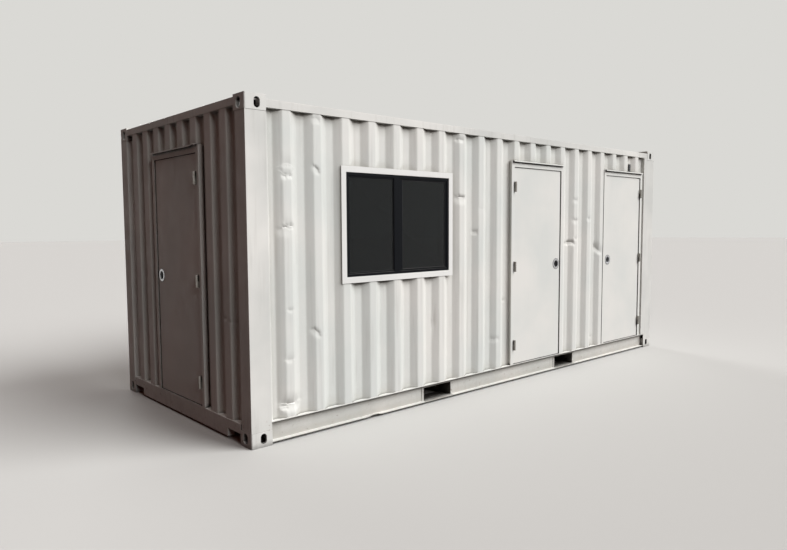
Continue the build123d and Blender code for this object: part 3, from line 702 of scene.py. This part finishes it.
@dataclass(frozen=True)
class PlateWork:
    """A CAD node of cut and bent plate, given the real one's rounded bends and eased edges, in mm."""

    node: str
    bend: float
    edge: float
    slot: str
    finish: Finish
    suffix: str = "_plate"
    body: str = CONTAINER
    knock: Optional[Callable[[Workpiece], None]] = None

    def build(self) -> None:
        """Rounds and paints the piece that stands for the node."""
        piece = Workpiece.from_node(self.node + self.suffix, self.node)
        if self.knock:
            self.knock(piece)
        if self.bend:
            piece.round_bends(self.bend / 1000.0)
        if self.edge:
            piece.round_edges(self.edge / 1000.0)
        piece.level_faces()
        piece.fit(self.body, self.slot, self.finish, [self.node])


@dataclass(frozen=True)
class Dent:
    """A knock that the sheet has taken, in mm and degrees.

    The sheet slopes in over `above` down to a crease and comes back out over `below`; the crease is
    `half_width` long to each side, leans down to the right by `lean`, and its ends turn up by `bow`,
    and past them by four times that at most.
    """

    along: float
    height: float
    half_width: float
    depth: float
    above: float = 60.0
    below: float = 16.0
    lean: float = 0.0
    bow: float = 0.0

    def over(self, x: float, z: float, wall_start: float) -> float:
        """Gives how far a point is above the crease's line, in metres."""
        across = x - wall_start - self.along / 1000.0
        lift = self.bow / 1000.0 * min(4.0, (across * 1000.0 / self.half_width) ** 2)
        return z - self.height / 1000.0 + across * math.tan(math.radians(self.lean)) - lift

    def aside(self, x: float, wall_start: float) -> float:
        """Gives how far a point is to one side of the crease's middle, in metres."""
        return abs(x - wall_start - self.along / 1000.0)


@dataclass(frozen=True)
class Bends:
    """The trapezoid bends of a wall sheet, in metres along the wall as seen from outside."""

    pitch: float
    crest: float
    slope: float
    depth: float
    first: float
    crest_depth: float = 0.006
    least: float = 0.004

    def depth_at(self, along: float) -> float:
        """Gives how deep the outer face lies behind the castings' faces."""
        past = (along - self.first) % self.pitch
        off = max(0.0, min(past - self.crest, self.pitch - past))
        return self.crest_depth + self.depth * min(1.0, off / self.slope)

    def line(self, low: float, high: float) -> list[tuple[float, float]]:
        """Gives the outer face's corners between two places along the wall, as along and depth."""
        steps = (0.0, self.crest, self.crest + self.slope, self.pitch - self.slope)
        first = math.floor((low - self.first) / self.pitch)
        last = math.ceil((high - self.first) / self.pitch)
        bends = [self.first + k * self.pitch + step for k in range(first, last + 1) for step in steps]
        inside = [bend for bend in bends if low + self.least < bend < high - self.least]
        return [(along, self.depth_at(along)) for along in (low, *inside, high)]


class View(Enum):
    """A wall's own view, seen from outside: along to the right, depth inwards, height up."""

    FRONT = "front"
    BACK = "back"
    LEFT_END = "left end"
    RIGHT_END = "right end"

    @property
    def half(self) -> float:
        """Half the length of this wall."""
        return HALF_WIDTH if self in (View.LEFT_END, View.RIGHT_END) else HALF_LENGTH

    @property
    def matrix(self) -> Matrix:
        """What turns this view's along, depth and height into the model's X, Y and Z."""
        if self is View.FRONT:
            return Matrix.Translation((0, -HALF_WIDTH, 0))
        if self is View.BACK:
            return Matrix.Translation((0, HALF_WIDTH, 0)) @ Matrix.Scale(-1, 4, (0, 1, 0))
        side = -1 if self is View.LEFT_END else 1
        return Matrix.Translation((side * HALF_LENGTH, 0, 0)) @ Matrix.Rotation(side * math.pi / 2, 4, "Z")


def climb(edge: bmesh.types.BMEdge) -> float:
    """Gives how far an edge climbs."""
    return abs(edge.verts[0].co.z - edge.verts[1].co.z)


@dataclass
class CorrugatedWall:
    """One corrugated wall: its sheets, cut round the openings, with the knocks they have taken."""

    view: View
    bends: Bends
    nodes: Sequence[str]
    dents: Sequence[Dent] = ()
    sheet: float = 0.002
    bend_radius: float = 0.007
    row: float = 0.014
    flat_width: float = 0.022
    columns: int = 4
    least_rows: int = 3
    tall_rows: int = 11
    rows_in_row: int = 9
    depth_below: float = 0.7

    def extent(self, node: str) -> tuple[Range, Range]:
        """Gives the range along the wall and the range of heights that a node covers."""
        low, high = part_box(node)
        if self.view in (View.FRONT, View.BACK):
            return (low.x, high.x), (low.z, high.z)
        along = (-high.y, -low.y) if self.view is View.LEFT_END else (low.y, high.y)
        return along, (low.z, high.z)

    def spans(self, node: str, along: Range) -> list[Range]:
        """Gives the range along the wall of each sheet of a node; doors part two of the nodes."""
        if node == "front_wall_over_doors":
            return [(low.x, high.x) for low, high in (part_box("door_1_frame"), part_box("door_2_frame"))]
        if node == "end_wall_beside_door":
            low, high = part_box("end_door_frame")
            return [(along[0], -high.y), (-low.y, along[1])]
        return [along]

    def strip(self, name: str, along: Range, height: Range) -> Workpiece:
        """Bends one sheet: a narrow plane whose edge is drawn out from bend to bend.

        Args:
            name: The piece's name.
            along: Its range along the wall.
            height: Its range of heights.

        Returns:
            The sheet's outer face, in the wall's own view.
        """
        points = self.bends.line(*along)
        (x0, d0), (x1, d1) = points[0], points[1]
        piece = Workpiece.primitive(
            name, bpy.ops.mesh.primitive_plane_add, (x1 - x0, height[1] - height[0], 1.0), size=1.0,
            location=((x0 + x1) / 2, d0, sum(height) / 2), rotation=(math.pi / 2, 0, 0))
        with piece.editing():
            end = x1

            def at_end(edge: bmesh.types.BMEdge) -> bool:
                """Says whether an edge is the sheet's free upright edge."""
                return all(abs(vert.co.x - end) < SAME for vert in edge.verts)

            piece.select(Pick.EDGES, at_end)
            bpy.ops.transform.translate(value=(0, d1 - d0, 0))
            for (here, depth), (there, deeper) in zip(points[1:], points[2:]):
                end = here
                piece.select(Pick.EDGES, at_end)
                step = {"value": (there - here, deeper - depth, 0)}
                bpy.ops.mesh.extrude_region_move(TRANSFORM_OT_translate=step)
            piece.select(Pick.EDGES, lambda edge: len(edge.link_faces) == 2)
            bpy.ops.mesh.bevel(offset=self.bend_radius, segments=BEND_SEGMENTS, affect="EDGES")
        return piece

    def grid(self, piece: Workpiece, rows: int) -> None:
        """Cuts the bent strip into a grid that can take dents."""
        with piece.editing():
            piece.select(Pick.EDGES, lambda edge: climb(edge) < SAME and edge.calc_length() > self.flat_width)
            bpy.ops.mesh.subdivide(number_cuts=self.columns)
            for cuts in (rows, self.rows_in_row) if rows > self.tall_rows else (rows,):
                piece.select(Pick.EDGES, lambda edge: climb(edge) > CLIMBING)
                bpy.ops.mesh.subdivide(number_cuts=cuts)

    def knock(self, piece: Workpiece, dent: Dent, low: Vector, high: Vector) -> None:
        """Makes one dent: its crease is pushed in, and the sheet above and below it follows.

        Args:
            piece: The sheet, in edit mode.
            dent: The knock it takes.
            low: The sheet's lowest corner in the wall's own view.
            high: Its highest corner.
        """
        start = -self.view.half
        x, z = dent.along / 1000.0 + start, dent.height / 1000.0
        half, above, below = dent.half_width / 1000.0, dent.above / 1000.0, dent.below / 1000.0
        if not (low.x - half < x < high.x + half and low.z < z < high.z):
            return
        row = self.row / 2

        def near(face: bmesh.types.BMFace) -> bool:
            """Says whether a face is close enough to the blow to need a finer grid."""
            middle = face.calc_center_median()
            reach = dent.over(middle.x, middle.z, start)
            return dent.aside(middle.x, start) < half + above / 2 and -below - row < reach < above

        def side(low_end: float, high_end: float, spread: float) -> Callable[[bmesh.types.BMVert], bool]:
            """Gives a test for points between two distances over the crease, out to a spread."""
            return lambda vert: (
                low_end <= dent.over(vert.co.x, vert.co.z, start) < high_end
                and dent.aside(vert.co.x, start) <= spread
            )

        if piece.select(Pick.FACES, near):
            bpy.ops.mesh.subdivide(number_cuts=1)
        far = 10.0
        for unseen, struck, depth, falloff, reach in (
            (side(-far, 0.0, far), side(0.0, row, half), dent.depth, "SHARP", above),
            (side(0.0, far, far), side(-row, 0.0, half), dent.depth * self.depth_below, "SMOOTH", below),
        ):
            piece.select(Pick.VERTS, unseen)
            bpy.ops.mesh.hide(unselected=False)
            if piece.select(Pick.VERTS, struck):
                bpy.ops.transform.translate(
                    value=(0, depth / 1000.0, 0), use_proportional_edit=True,
                    proportional_edit_falloff=falloff, proportional_size=reach)
            bpy.ops.mesh.reveal(select=False)

    def build(self) -> None:
        """Makes, dents and fits every sheet of the wall."""
        for node in self.nodes:
            along, height = self.extent(node)
            spans = self.spans(node, along)
            pieces = [self.strip(f"{node}_sheet_{k + 1}", span, height) for k, span in enumerate(spans)]
            rows = round((height[1] - height[0]) / self.row / (self.rows_in_row + 1)) if self.dents else 0
            for piece, span in zip(pieces, spans):
                self.grid(piece, max(rows, self.least_rows))
                low, high = Vector((span[0], 0, height[0])), Vector((span[1], 0, height[1]))
                with piece.editing():
                    for dent in self.dents:
                        self.knock(piece, dent, low, high)
                piece.modify("SOLIDIFY", thickness=self.sheet, offset=-1.0)
                piece.obj.matrix_world = self.view.matrix
                bpy.ops.object.transform_apply(location=True, rotation=True, scale=True)
                if self.view is View.BACK:
                    with piece.editing():
                        bpy.ops.mesh.select_all(action="SELECT")
                        bpy.ops.mesh.normals_make_consistent(inside=False)
                piece.fit(CONTAINER, "wall_paint", WALL_PAINT, [node])


SIDE_BENDS = Bends(0.2772, 0.071, 0.068, 0.036, 0.316 - HALF_LENGTH)
END_BENDS = Bends(0.250, 0.110, 0.018, 0.0456, 0.052 + 0.018)

FRONT_DENTS = (
    Dent(326, 2008, 10, 6, 34, 24),
    Dent(379, 2013, 10, 6, 34, 24),
    Dent(352, 2022, 30, 5, 80, 30, bow=8),
    Dent(352, 2106, 30, 5, 90, 34, bow=-6),
    Dent(326, 1628, 15, 9, 30, 80),
    Dent(382, 1636, 13, 8, 36, 30),
    Dent(352, 1646, 26, 4, 60, 30, bow=10),
    Dent(362, 1000, 14, 5, 40, 18),
    Dent(350, 622, 16, 6, 70, 26),
    Dent(362, 276, 34, 22, 110, 70, bow=4),
    Dent(300, 262, 15, 9, 70, 24),
    Dent(620, 2082, 15, 9, 24, 44, lean=46),
    Dent(620, 2460, 26, 5, 40, 36, bow=-8),
    Dent(602, 812, 22, 9, 26, 46, lean=42),
    Dent(1462, 830, 40, 4, 50, 50, bow=6),
    Dent(1380, 815, 34, 6, 40, 26),
    Dent(1490, 2371, 14, 5, 40, 20),
    Dent(1940, 752, 26, 9, 30, 40, lean=38),
    Dent(2264, 2440, 34, 9, 50, 28, bow=-6),
    Dent(2284, 1900, 30, 13, 34, 80, bow=5),
    Dent(2496, 1570, 17, 7, 40, 30),
    Dent(2604, 1790, 50, 2, 60, 50),
    Dent(2796, 480, 40, 5, 50, 40, bow=6),
    Dent(2960, 866, 16, 5, 45, 22),
    Dent(4152, 1440, 44, 17, 40, 40, bow=-9),
    Dent(4050, 1430, 16, 6, 30, 30),
    Dent(4226, 1914, 28, 6, 40, 40, bow=6),
    Dent(4226, 1684, 28, 8, 40, 46, bow=7),
    Dent(4240, 1476, 24, 5, 50, 30, bow=5),
    Dent(4516, 1702, 26, 6, 50, 36, bow=6),
    Dent(4722, 1345, 32, 16, 90, 50, lean=40),
    Dent(4643, 286, 16, 5, 45, 20),
)
END_DENTS = (
    Dent(278, 1842, 26, 7, 30, 16),
    Dent(2063, 937, 18, 6, 30, 16),
    Dent(2148, 915, 24, 6, 30, 18),
    Dent(558, 1240, 46, 7, 60, 30, lean=-64),
)


@dataclass
class WeldBeads:
    """Fillet welds, painted over: castings to posts, wall sheets to the bottom rails, roof panel seams."""

    radius: float = 0.003
    sides: int = 6
    ripple: float = 0.0007
    ripple_step: float = 0.02
    rings: tuple[int, int] = (4, 60)
    casting: Range = (0.178, 0.146)
    casting_inset: float = 0.004
    foot_inset: float = 0.006
    seam_inset: float = 0.01
    seam_rise: float = 0.002
    panels: int = 5
    seed: int = 1

    def bead(self, name: str, start: Vector, end: Vector, finish: Finish) -> None:
        """Lays one bead between two points: a bar with rings along it, shaken a little in its own way.

        Args:
            name: The piece's name.
            start: Where the bead starts.
            end: Where it ends.
            finish: Its paint.
        """
        run = end - start
        piece = Workpiece.round_bar(name, start, run, run.length, self.radius, self.sides)
        cuts = max(self.rings[0], min(self.rings[1], round(run.length / self.ripple_step)))
        still, ahead = self.ripple_step / 2, run.normalized()
        with piece.editing():
            piece.select(Pick.EDGES, lambda edge: edge.calc_length() > run.length / 2)
            bpy.ops.mesh.subdivide(number_cuts=cuts)
            piece.select(Pick.VERTS, lambda vert: still < (vert.co - start).dot(ahead) < run.length - still)
            bpy.ops.transform.vertex_random(offset=self.ripple, seed=self.seed)
        piece.fit(CONTAINER, "frame_paint", finish)
        self.seed += 1

    def build(self) -> None:
        """Lays the beads on the castings, along the feet of the walls and across the roof."""
        feet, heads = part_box("corner_castings_bottom")[1].z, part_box("corner_castings_top")[0].z
        inset, (length, width) = self.casting_inset, self.casting
        for side_x, side_y, z in product((-1, 1), (-1, 1), (feet, heads)):
            corner = Vector((side_x * (HALF_LENGTH - inset), side_y * (HALF_WIDTH - inset), z))
            along = corner - Vector((side_x * (length - inset), 0, 0))
            across = corner - Vector((0, side_y * (width - inset), 0))
            for name, far in (("side", along), ("end", across)):
                self.bead(f"casting_weld_{name}_{self.seed}", far, corner, WELD_PAINT)
        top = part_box("bottom_side_rails")[1].z
        left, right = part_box("front_wall_left")[0].x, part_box("back_wall")[1].x
        door_1, door_2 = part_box("door_1_frame"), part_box("door_2_frame")
        for name, start, end, side in (
            ("front_left", left, door_1[0].x, -1), ("front_middle", door_1[1].x, door_2[0].x, -1),
            ("back", left, right, 1),
        ):
            y = side * (HALF_WIDTH - self.foot_inset)
            self.bead(f"wall_foot_weld_{name}", Vector((start, y, top)), Vector((end, y, top)), FRAME_PAINT)
        low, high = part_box("roof")
        sheet_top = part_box("top_side_rails")[1].z + self.seam_rise
        reach = HALF_LENGTH - length
        for k in range(1, self.panels):
            x = -reach + 2 * reach * k / self.panels
            start = Vector((x, low.y + self.seam_inset, sheet_top))
            end = Vector((x, high.y - self.seam_inset, sheet_top))
            self.bead(f"roof_seam_{k}", start, end, ROOF_PAINT)


@dataclass
class SlidingWindow:
    """The black sliding window: eased frame bars, rubber round both panes, and the tinted glass."""

    gasket_width: float = 0.006
    gasket_proud: float = 0.003
    gasket_edge: float = 0.001
    bar_edge_mm: float = 2.0

    def gasket(self, name: str, low: Vector, high: Vector) -> None:
        """Lays a rubber ring round a pane, between its face and the bars in front of it.

        Args:
            name: The piece's name.
            low: The pane's lowest corner.
            high: The pane's highest corner.
        """
        piece = Workpiece.block(name, (low.x, low.y - self.gasket_proud, low.z), (high.x, low.y, high.z))
        piece.ring(Vector((0, 1, 0)), self.gasket_width)
        piece.round_edges(self.gasket_edge)
        piece.fit(CONTAINER, "window_black", RUBBER)

    def build(self) -> None:
        """Builds the window's pieces."""
        for bars in ("window_frame", "window_sash"):
            PlateWork(bars, 0.0, self.bar_edge_mm, "window_black", WINDOW_BLACK, "_bars").build()
        glass = bpy.data.objects["window_glass"]
        glass.data.materials.clear()
        glass.data.materials.append(material_of(GLASS))
        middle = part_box("window_sash")[0].x
        corners = [vert.co for vert in glass.data.vertices]
        for name, slides in (("fixed", False), ("sliding", True)):
            pane = [corner for corner in corners if (corner.x > middle) == slides]
            low, high = (Vector([end(corner[k] for corner in pane) for k in range(3)]) for end in (min, max))
            self.gasket(f"{name}_pane_gasket", low, high)


@dataclass
class DoorFittings:
    """What each door carries: its sheet leaf, hinges, lock and handle, and the seal in its frame."""

    door: str
    seal_width: float = 0.018
    seal_thick: float = 0.004
    seal_inset: float = 0.012
    seal_gap: float = 0.005
    seal_edge: float = 0.0012
    gasket_width: float = 0.0035
    flange_proud: float = 0.0012
    screw_radius: float = 0.0042
    screw_circle: float = 0.046
    screw_sides: int = 16
    gasket_sides: int = 48
    screw_edge: float = 0.0003
    recess: Range = (0.0009, 0.0008)

    @property
    def in_end(self) -> bool:
        """Whether this is the door in the container's end."""
        return self.door == "end_door"

    @property
    def outward(self) -> Vector:
        """The direction that the door faces."""
        return Vector((-1, 0, 0)) if self.in_end else Vector((0, -1, 0))

    def placed(self, depth: float, along: float, height: float) -> Vector:
        """Gives a place by its depth in the wall, its place along the wall and its height."""
        return Vector((depth, along, height) if self.in_end else (along, depth, height))

    def lock_on(self, node: str) -> Vector:
        """Gives the middle of the lock on a node's outer face."""
        low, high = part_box(f"{self.door}_lock_dish")
        middle, face = (low + high) / 2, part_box(f"{self.door}_{node}")[0]
        return self.placed(*((face.x, middle.y) if self.in_end else (face.y, middle.x)), middle.z)

    def screws(self) -> None:
        """Sets four low screw heads, each with its recess, on the lock's flange."""
        reach, outward = self.screw_circle * math.sqrt(0.5), self.outward
        start = self.lock_on("lock_dish") + self.placed(0.0, reach, reach)
        name = f"{self.door}_lock_screw_"
        first = Workpiece.round_bar(
            f"{name}1", start, outward, self.flange_proud, self.screw_radius, self.screw_sides)
        with first.editing():
            first.select(Pick.FACES, lambda face: face.normal.dot(outward) > FACING)
            bpy.ops.mesh.inset(thickness=self.screw_radius / 3, depth=0.0)
            bpy.ops.mesh.inset(thickness=self.recess[0], depth=-self.recess[1])
        first.round_edges(self.screw_edge)
        step = -2 * reach
        shifts = [self.placed(0.0, *there) for there in ((step, 0.0), (0.0, step), (step, step))]
        for screw in [first] + [first.copy(f"{name}{k + 2}", shift) for k, shift in enumerate(shifts)]:
            screw.fit(self.door, "lock_steel", LOCK_STEEL)

    def lock_gasket(self) -> None:
        """Lays a thin black rubber ring on the leaf round the lock's flange, which also paints the shade line
        round it.
        """
        low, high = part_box(f"{self.door}_lock_dish")
        radius = (high.z - low.z) / 2 + self.gasket_width
        piece = Workpiece.round_bar(
            f"{self.door}_lock_gasket", self.lock_on("leaf"), self.outward, self.flange_proud, radius,
            self.gasket_sides)
        piece.ring(self.outward, self.gasket_width)
        piece.fit(self.door, "window_black", RUBBER)

    def seal(self) -> None:
        """Sticks a rubber strip to the frame's stop, up both sides and over the head."""
        low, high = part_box(f"{self.door}_leaf")
        (back, start, end) = (high.x, low.y, high.y) if self.in_end else (high.y, low.x, high.x)
        back, inset = back + self.seal_gap, self.seal_inset
        piece = Workpiece.block(
            f"{self.door}_seal", self.placed(back - self.seal_thick, start + inset, low.z),
            self.placed(back, end - inset, high.z - inset))
        piece.ring(self.outward, self.seal_width)
        foot, slack = low.z, 0.001
        with piece.editing():
            piece.select(Pick.VERTS, lambda vert: foot + slack < vert.co.z < foot + self.seal_width + slack)
            bpy.ops.transform.translate(value=(0, 0, self.seal_thick - self.seal_width))
        piece.round_edges(self.seal_edge)
        piece.level_faces()
        piece.fit(CONTAINER, "window_black", RUBBER)

    def build(self) -> None:
        """Builds this door's pieces."""
        door = self.door
        for plate in (
            PlateWork(f"{door}_leaf", 3.0, 0.6, "door_paint", DOOR_PAINT, "_pan", door),
            PlateWork(f"{door}_hinges", 0.0, 1.2, "hinge_steel", HINGE_STEEL, "_barrels", door),
            PlateWork(f"{door}_lock_dish", 0.0, 0.8, "lock_steel", LOCK_STEEL, "_pressing", door),
            PlateWork(f"{door}_handle", 0.0, 1.2, "handle_black", HANDLE_BLACK, "_bar", f"{door}_turn"),
            PlateWork(f"{door}_frame", 2.5, 0.8, "door_paint", DOOR_FRAME_PAINT, "_pressing"),
        ):
            plate.build()
        self.lock_gasket()
        self.screws()
        self.seal()


@dataclass
class Structure:
    """The container's welded frame, floor, roof and small parts, eased and painted."""

    lip_cut: float = 0.03
    rail_cuts: int = 7
    rail_cuts_from: float = -1.93
    rail_struck: tuple[Point, Point] = ((-1.88, -1.22, 0.015), (-1.80, -1.175, 0.03))
    rail_lift: float = 0.009
    rail_run_out: float = 0.045
    cap_cuts: int = 5
    cap_struck: tuple[Point, Point] = ((-3.06, -0.002, -0.02), (-3.02, 0.002, 0.01))
    cap_lift: float = 0.010
    cap_run_out: float = 0.055

    def bend_rail(self, rail: Workpiece) -> None:
        """Bends the front rail's lower lip up where it has been set down on something."""
        cuts = [self.rail_cuts_from + self.lip_cut * k for k in range(self.rail_cuts)]
        rail.bend_lip(cuts, Vector((1, 0, 0)), *self.rail_struck, self.rail_lift, self.rail_run_out)

    def bend_cap(self, cap: Workpiece) -> None:
        """Bends the end door's cap up at the second cut from its end by the corner post."""
        near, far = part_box("end_door_frame")
        cuts = [near.y + self.lip_cut * (k + 1) for k in range(self.cap_cuts)]
        low, high = (Vector((0, cuts[1], far.z)) + Vector(corner) for corner in self.cap_struck)
        cap.bend_lip(cuts, Vector((0, 1, 0)), low, high, self.cap_lift, self.cap_run_out)

    def build(self) -> None:
        """Builds every plate of the frame, with the roof, the floor and the small parts."""
        for plate in (
            PlateWork("corner_castings_bottom", 0.0, 3.0, "frame_paint", HOLLOW_PAINT, "_cast"),
            PlateWork("corner_castings_top", 0.0, 3.0, "frame_paint", HOLLOW_PAINT, "_cast"),
            PlateWork("forklift_pockets", 0.0, 1.0, "frame_paint", POCKET_PAINT),
            PlateWork("corner_posts_left", 9.0, 1.0, "frame_paint", FRAME_PAINT),
            PlateWork("corner_posts_right", 9.0, 1.0, "frame_paint", FRAME_PAINT),
            PlateWork("top_side_rails", 6.0, 0.0, "frame_paint", FRAME_PAINT),
            PlateWork("top_end_rails", 6.0, 0.0, "frame_paint", FRAME_PAINT),
            PlateWork("bottom_end_rails", 5.0, 1.0, "frame_paint", FRAME_PAINT),
            PlateWork("bottom_side_rails", 6.0, 1.0, "frame_paint", RAIL_PAINT, knock=self.bend_rail),
            PlateWork("door_caps", 2.5, 0.8, "door_paint", DOOR_FRAME_PAINT, knock=self.bend_cap),
            PlateWork("window_surround", 3.0, 0.8, "door_paint", SURROUND_PAINT, "_angle"),
            PlateWork("roof", 5.0, 0.0, "wall_paint", ROOF_PAINT, "_sheet"),
            PlateWork("cross_members", 4.0, 0.0, "underside_paint", UNDERSEAL, "_channel"),
            PlateWork("floor", 0.0, 2.0, "floor_boards", FLOOR_PLY, "_boards"),
            PlateWork("frame_hinges", 0.0, 1.2, "hinge_steel", HINGE_STEEL, "_barrels"),
            PlateWork("wall_vent", 0.0, 1.2, "vent_grey", VENT_GREY, "_moulding"),
        ):
            plate.build()


@dataclass
class Viewpoint:
    """The photograph's viewpoint: the camera's place and turn, and its focal length in pixels."""

    position: Point = (-5.3527, -5.3756, 1.6391)
    yaw: float = 41.903
    pitch: float = -4.346
    roll: float = -0.325
    focal: float = 648.5
    frame_width: float = 787.0
    sensor: float = 36.0
    clip: float = 400.0

    def build(self) -> None:
        """Sets up the camera. Yaw is from +Y towards +X."""
        yaw, pitch, roll = (math.radians(angle) for angle in (self.yaw, self.pitch, self.roll))
        forward = Vector((math.sin(yaw) * math.cos(pitch), math.cos(yaw) * math.cos(pitch), math.sin(pitch)))
        level = Vector((math.cos(yaw), -math.sin(yaw), 0.0))
        rise = level.cross(forward)
        right = level * math.cos(roll) + rise * math.sin(roll)
        up = rise * math.cos(roll) - level * math.sin(roll)
        data = bpy.data.cameras.new("viewpoint")
        data.sensor_width = self.sensor
        data.lens = self.focal / self.frame_width * self.sensor
        data.clip_end = self.clip
        camera = bpy.data.objects.new("viewpoint", data)
        axes = Matrix((right, up, -forward)).transposed().to_4x4()
        camera.matrix_world = Matrix.Translation(self.position) @ axes
        bpy.context.scene.collection.objects.link(camera)
        bpy.context.scene.camera = camera


@dataclass
class Studio:
    """A pale floor and backdrop under soft lamps; the end with the door stays in their shade."""

    backdrop: str = "#DAD9D5"
    room: str = "#A05C4C"
    room_light: float = 0.18
    floor_radius: float = 80.0
    floor_sides: int = 64
    lamps: tuple[tuple[str, Point, float, float], ...] = (
        ("front_softbox", (0.46, -0.62, 0.635), 3.98, 45.0),
        ("near_softbox", (-0.13, -0.85, 0.51), 0.56, 20.0),
        ("top_softbox", (0.0, -0.15, 0.985), 0.5, 30.0),
        ("back_softbox", (0.25, 0.95, 0.18), 2.6, 25.0),
    )

    def lamp(self, name: str, source: Point, strength: float, spread: float) -> None:
        """Hangs a soft lamp far off in one direction.

        Args:
            name: Its name.
            source: The direction that its light comes from.
            strength: Its strength.
            spread: The angle it fills in the sky, in degrees.
        """
        data = bpy.data.lights.new(name, "SUN")
        data.energy = strength
        data.angle = math.radians(spread)
        lamp = bpy.data.objects.new(name, data)
        lamp.matrix_world = Vector(source).to_track_quat("Z", "Y").to_matrix().to_4x4()
        bpy.context.scene.collection.objects.link(lamp)

    def floor(self) -> None:
        """Lays the round floor."""
        floor = Workpiece.primitive(
            "studio_floor", bpy.ops.mesh.primitive_circle_add, vertices=self.floor_sides,
            radius=self.floor_radius, fill_type="NGON").obj
        floor.data.materials.append(material_of(STUDIO_PAPER))

    def world(self) -> None:
        """Sets the backdrop's colour and the little light that comes from all round."""
        world = bpy.data.worlds.new("studio")
        world.use_nodes = True
        bpy.context.scene.world = world
        tree = world.node_tree
        inputs = tree.nodes["Background"].inputs
        shown = seen(tree)
        colours = {0: shown, 6: linear(self.room), 7: linear(self.backdrop)}
        tree.links.new(add_node(tree, Kind.MIX, colours), inputs["Color"])
        levels = {0: shown, 1: 0.0, 2: 1.0, 3: self.room_light, 4: 1.0}
        tree.links.new(add_node(tree, Kind.FADE, levels), inputs["Strength"])

    def build(self) -> None:
        """Builds the floor, backdrop and lamps."""
        self.floor()
        self.world()
        for lamp in self.lamps:
            self.lamp(*lamp)
        bpy.context.scene.view_settings.view_transform = "Standard"


def main() -> None:
    """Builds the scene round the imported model."""
    logging.basicConfig(level=logging.INFO, format="%(message)s")
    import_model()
    Viewpoint().build()
    Studio().build()
    Structure().build()
    front = ("front_wall_left", "front_wall_under_window", "front_wall_over_window", "front_wall_middle",
             "front_wall_between_doors", "front_wall_over_doors")
    CorrugatedWall(View.FRONT, SIDE_BENDS, front, FRONT_DENTS).build()
    CorrugatedWall(View.BACK, SIDE_BENDS, ("back_wall",)).build()
    end = ("end_wall_beside_door", "end_wall_over_door")
    CorrugatedWall(View.LEFT_END, END_BENDS, end, END_DENTS).build()
    CorrugatedWall(View.RIGHT_END, END_BENDS, ("right_end_wall",)).build()
    WeldBeads().build()
    SlidingWindow().build()
    for door in DOORS:
        DoorFittings(door).build()


if __name__ == "__main__":
    main()
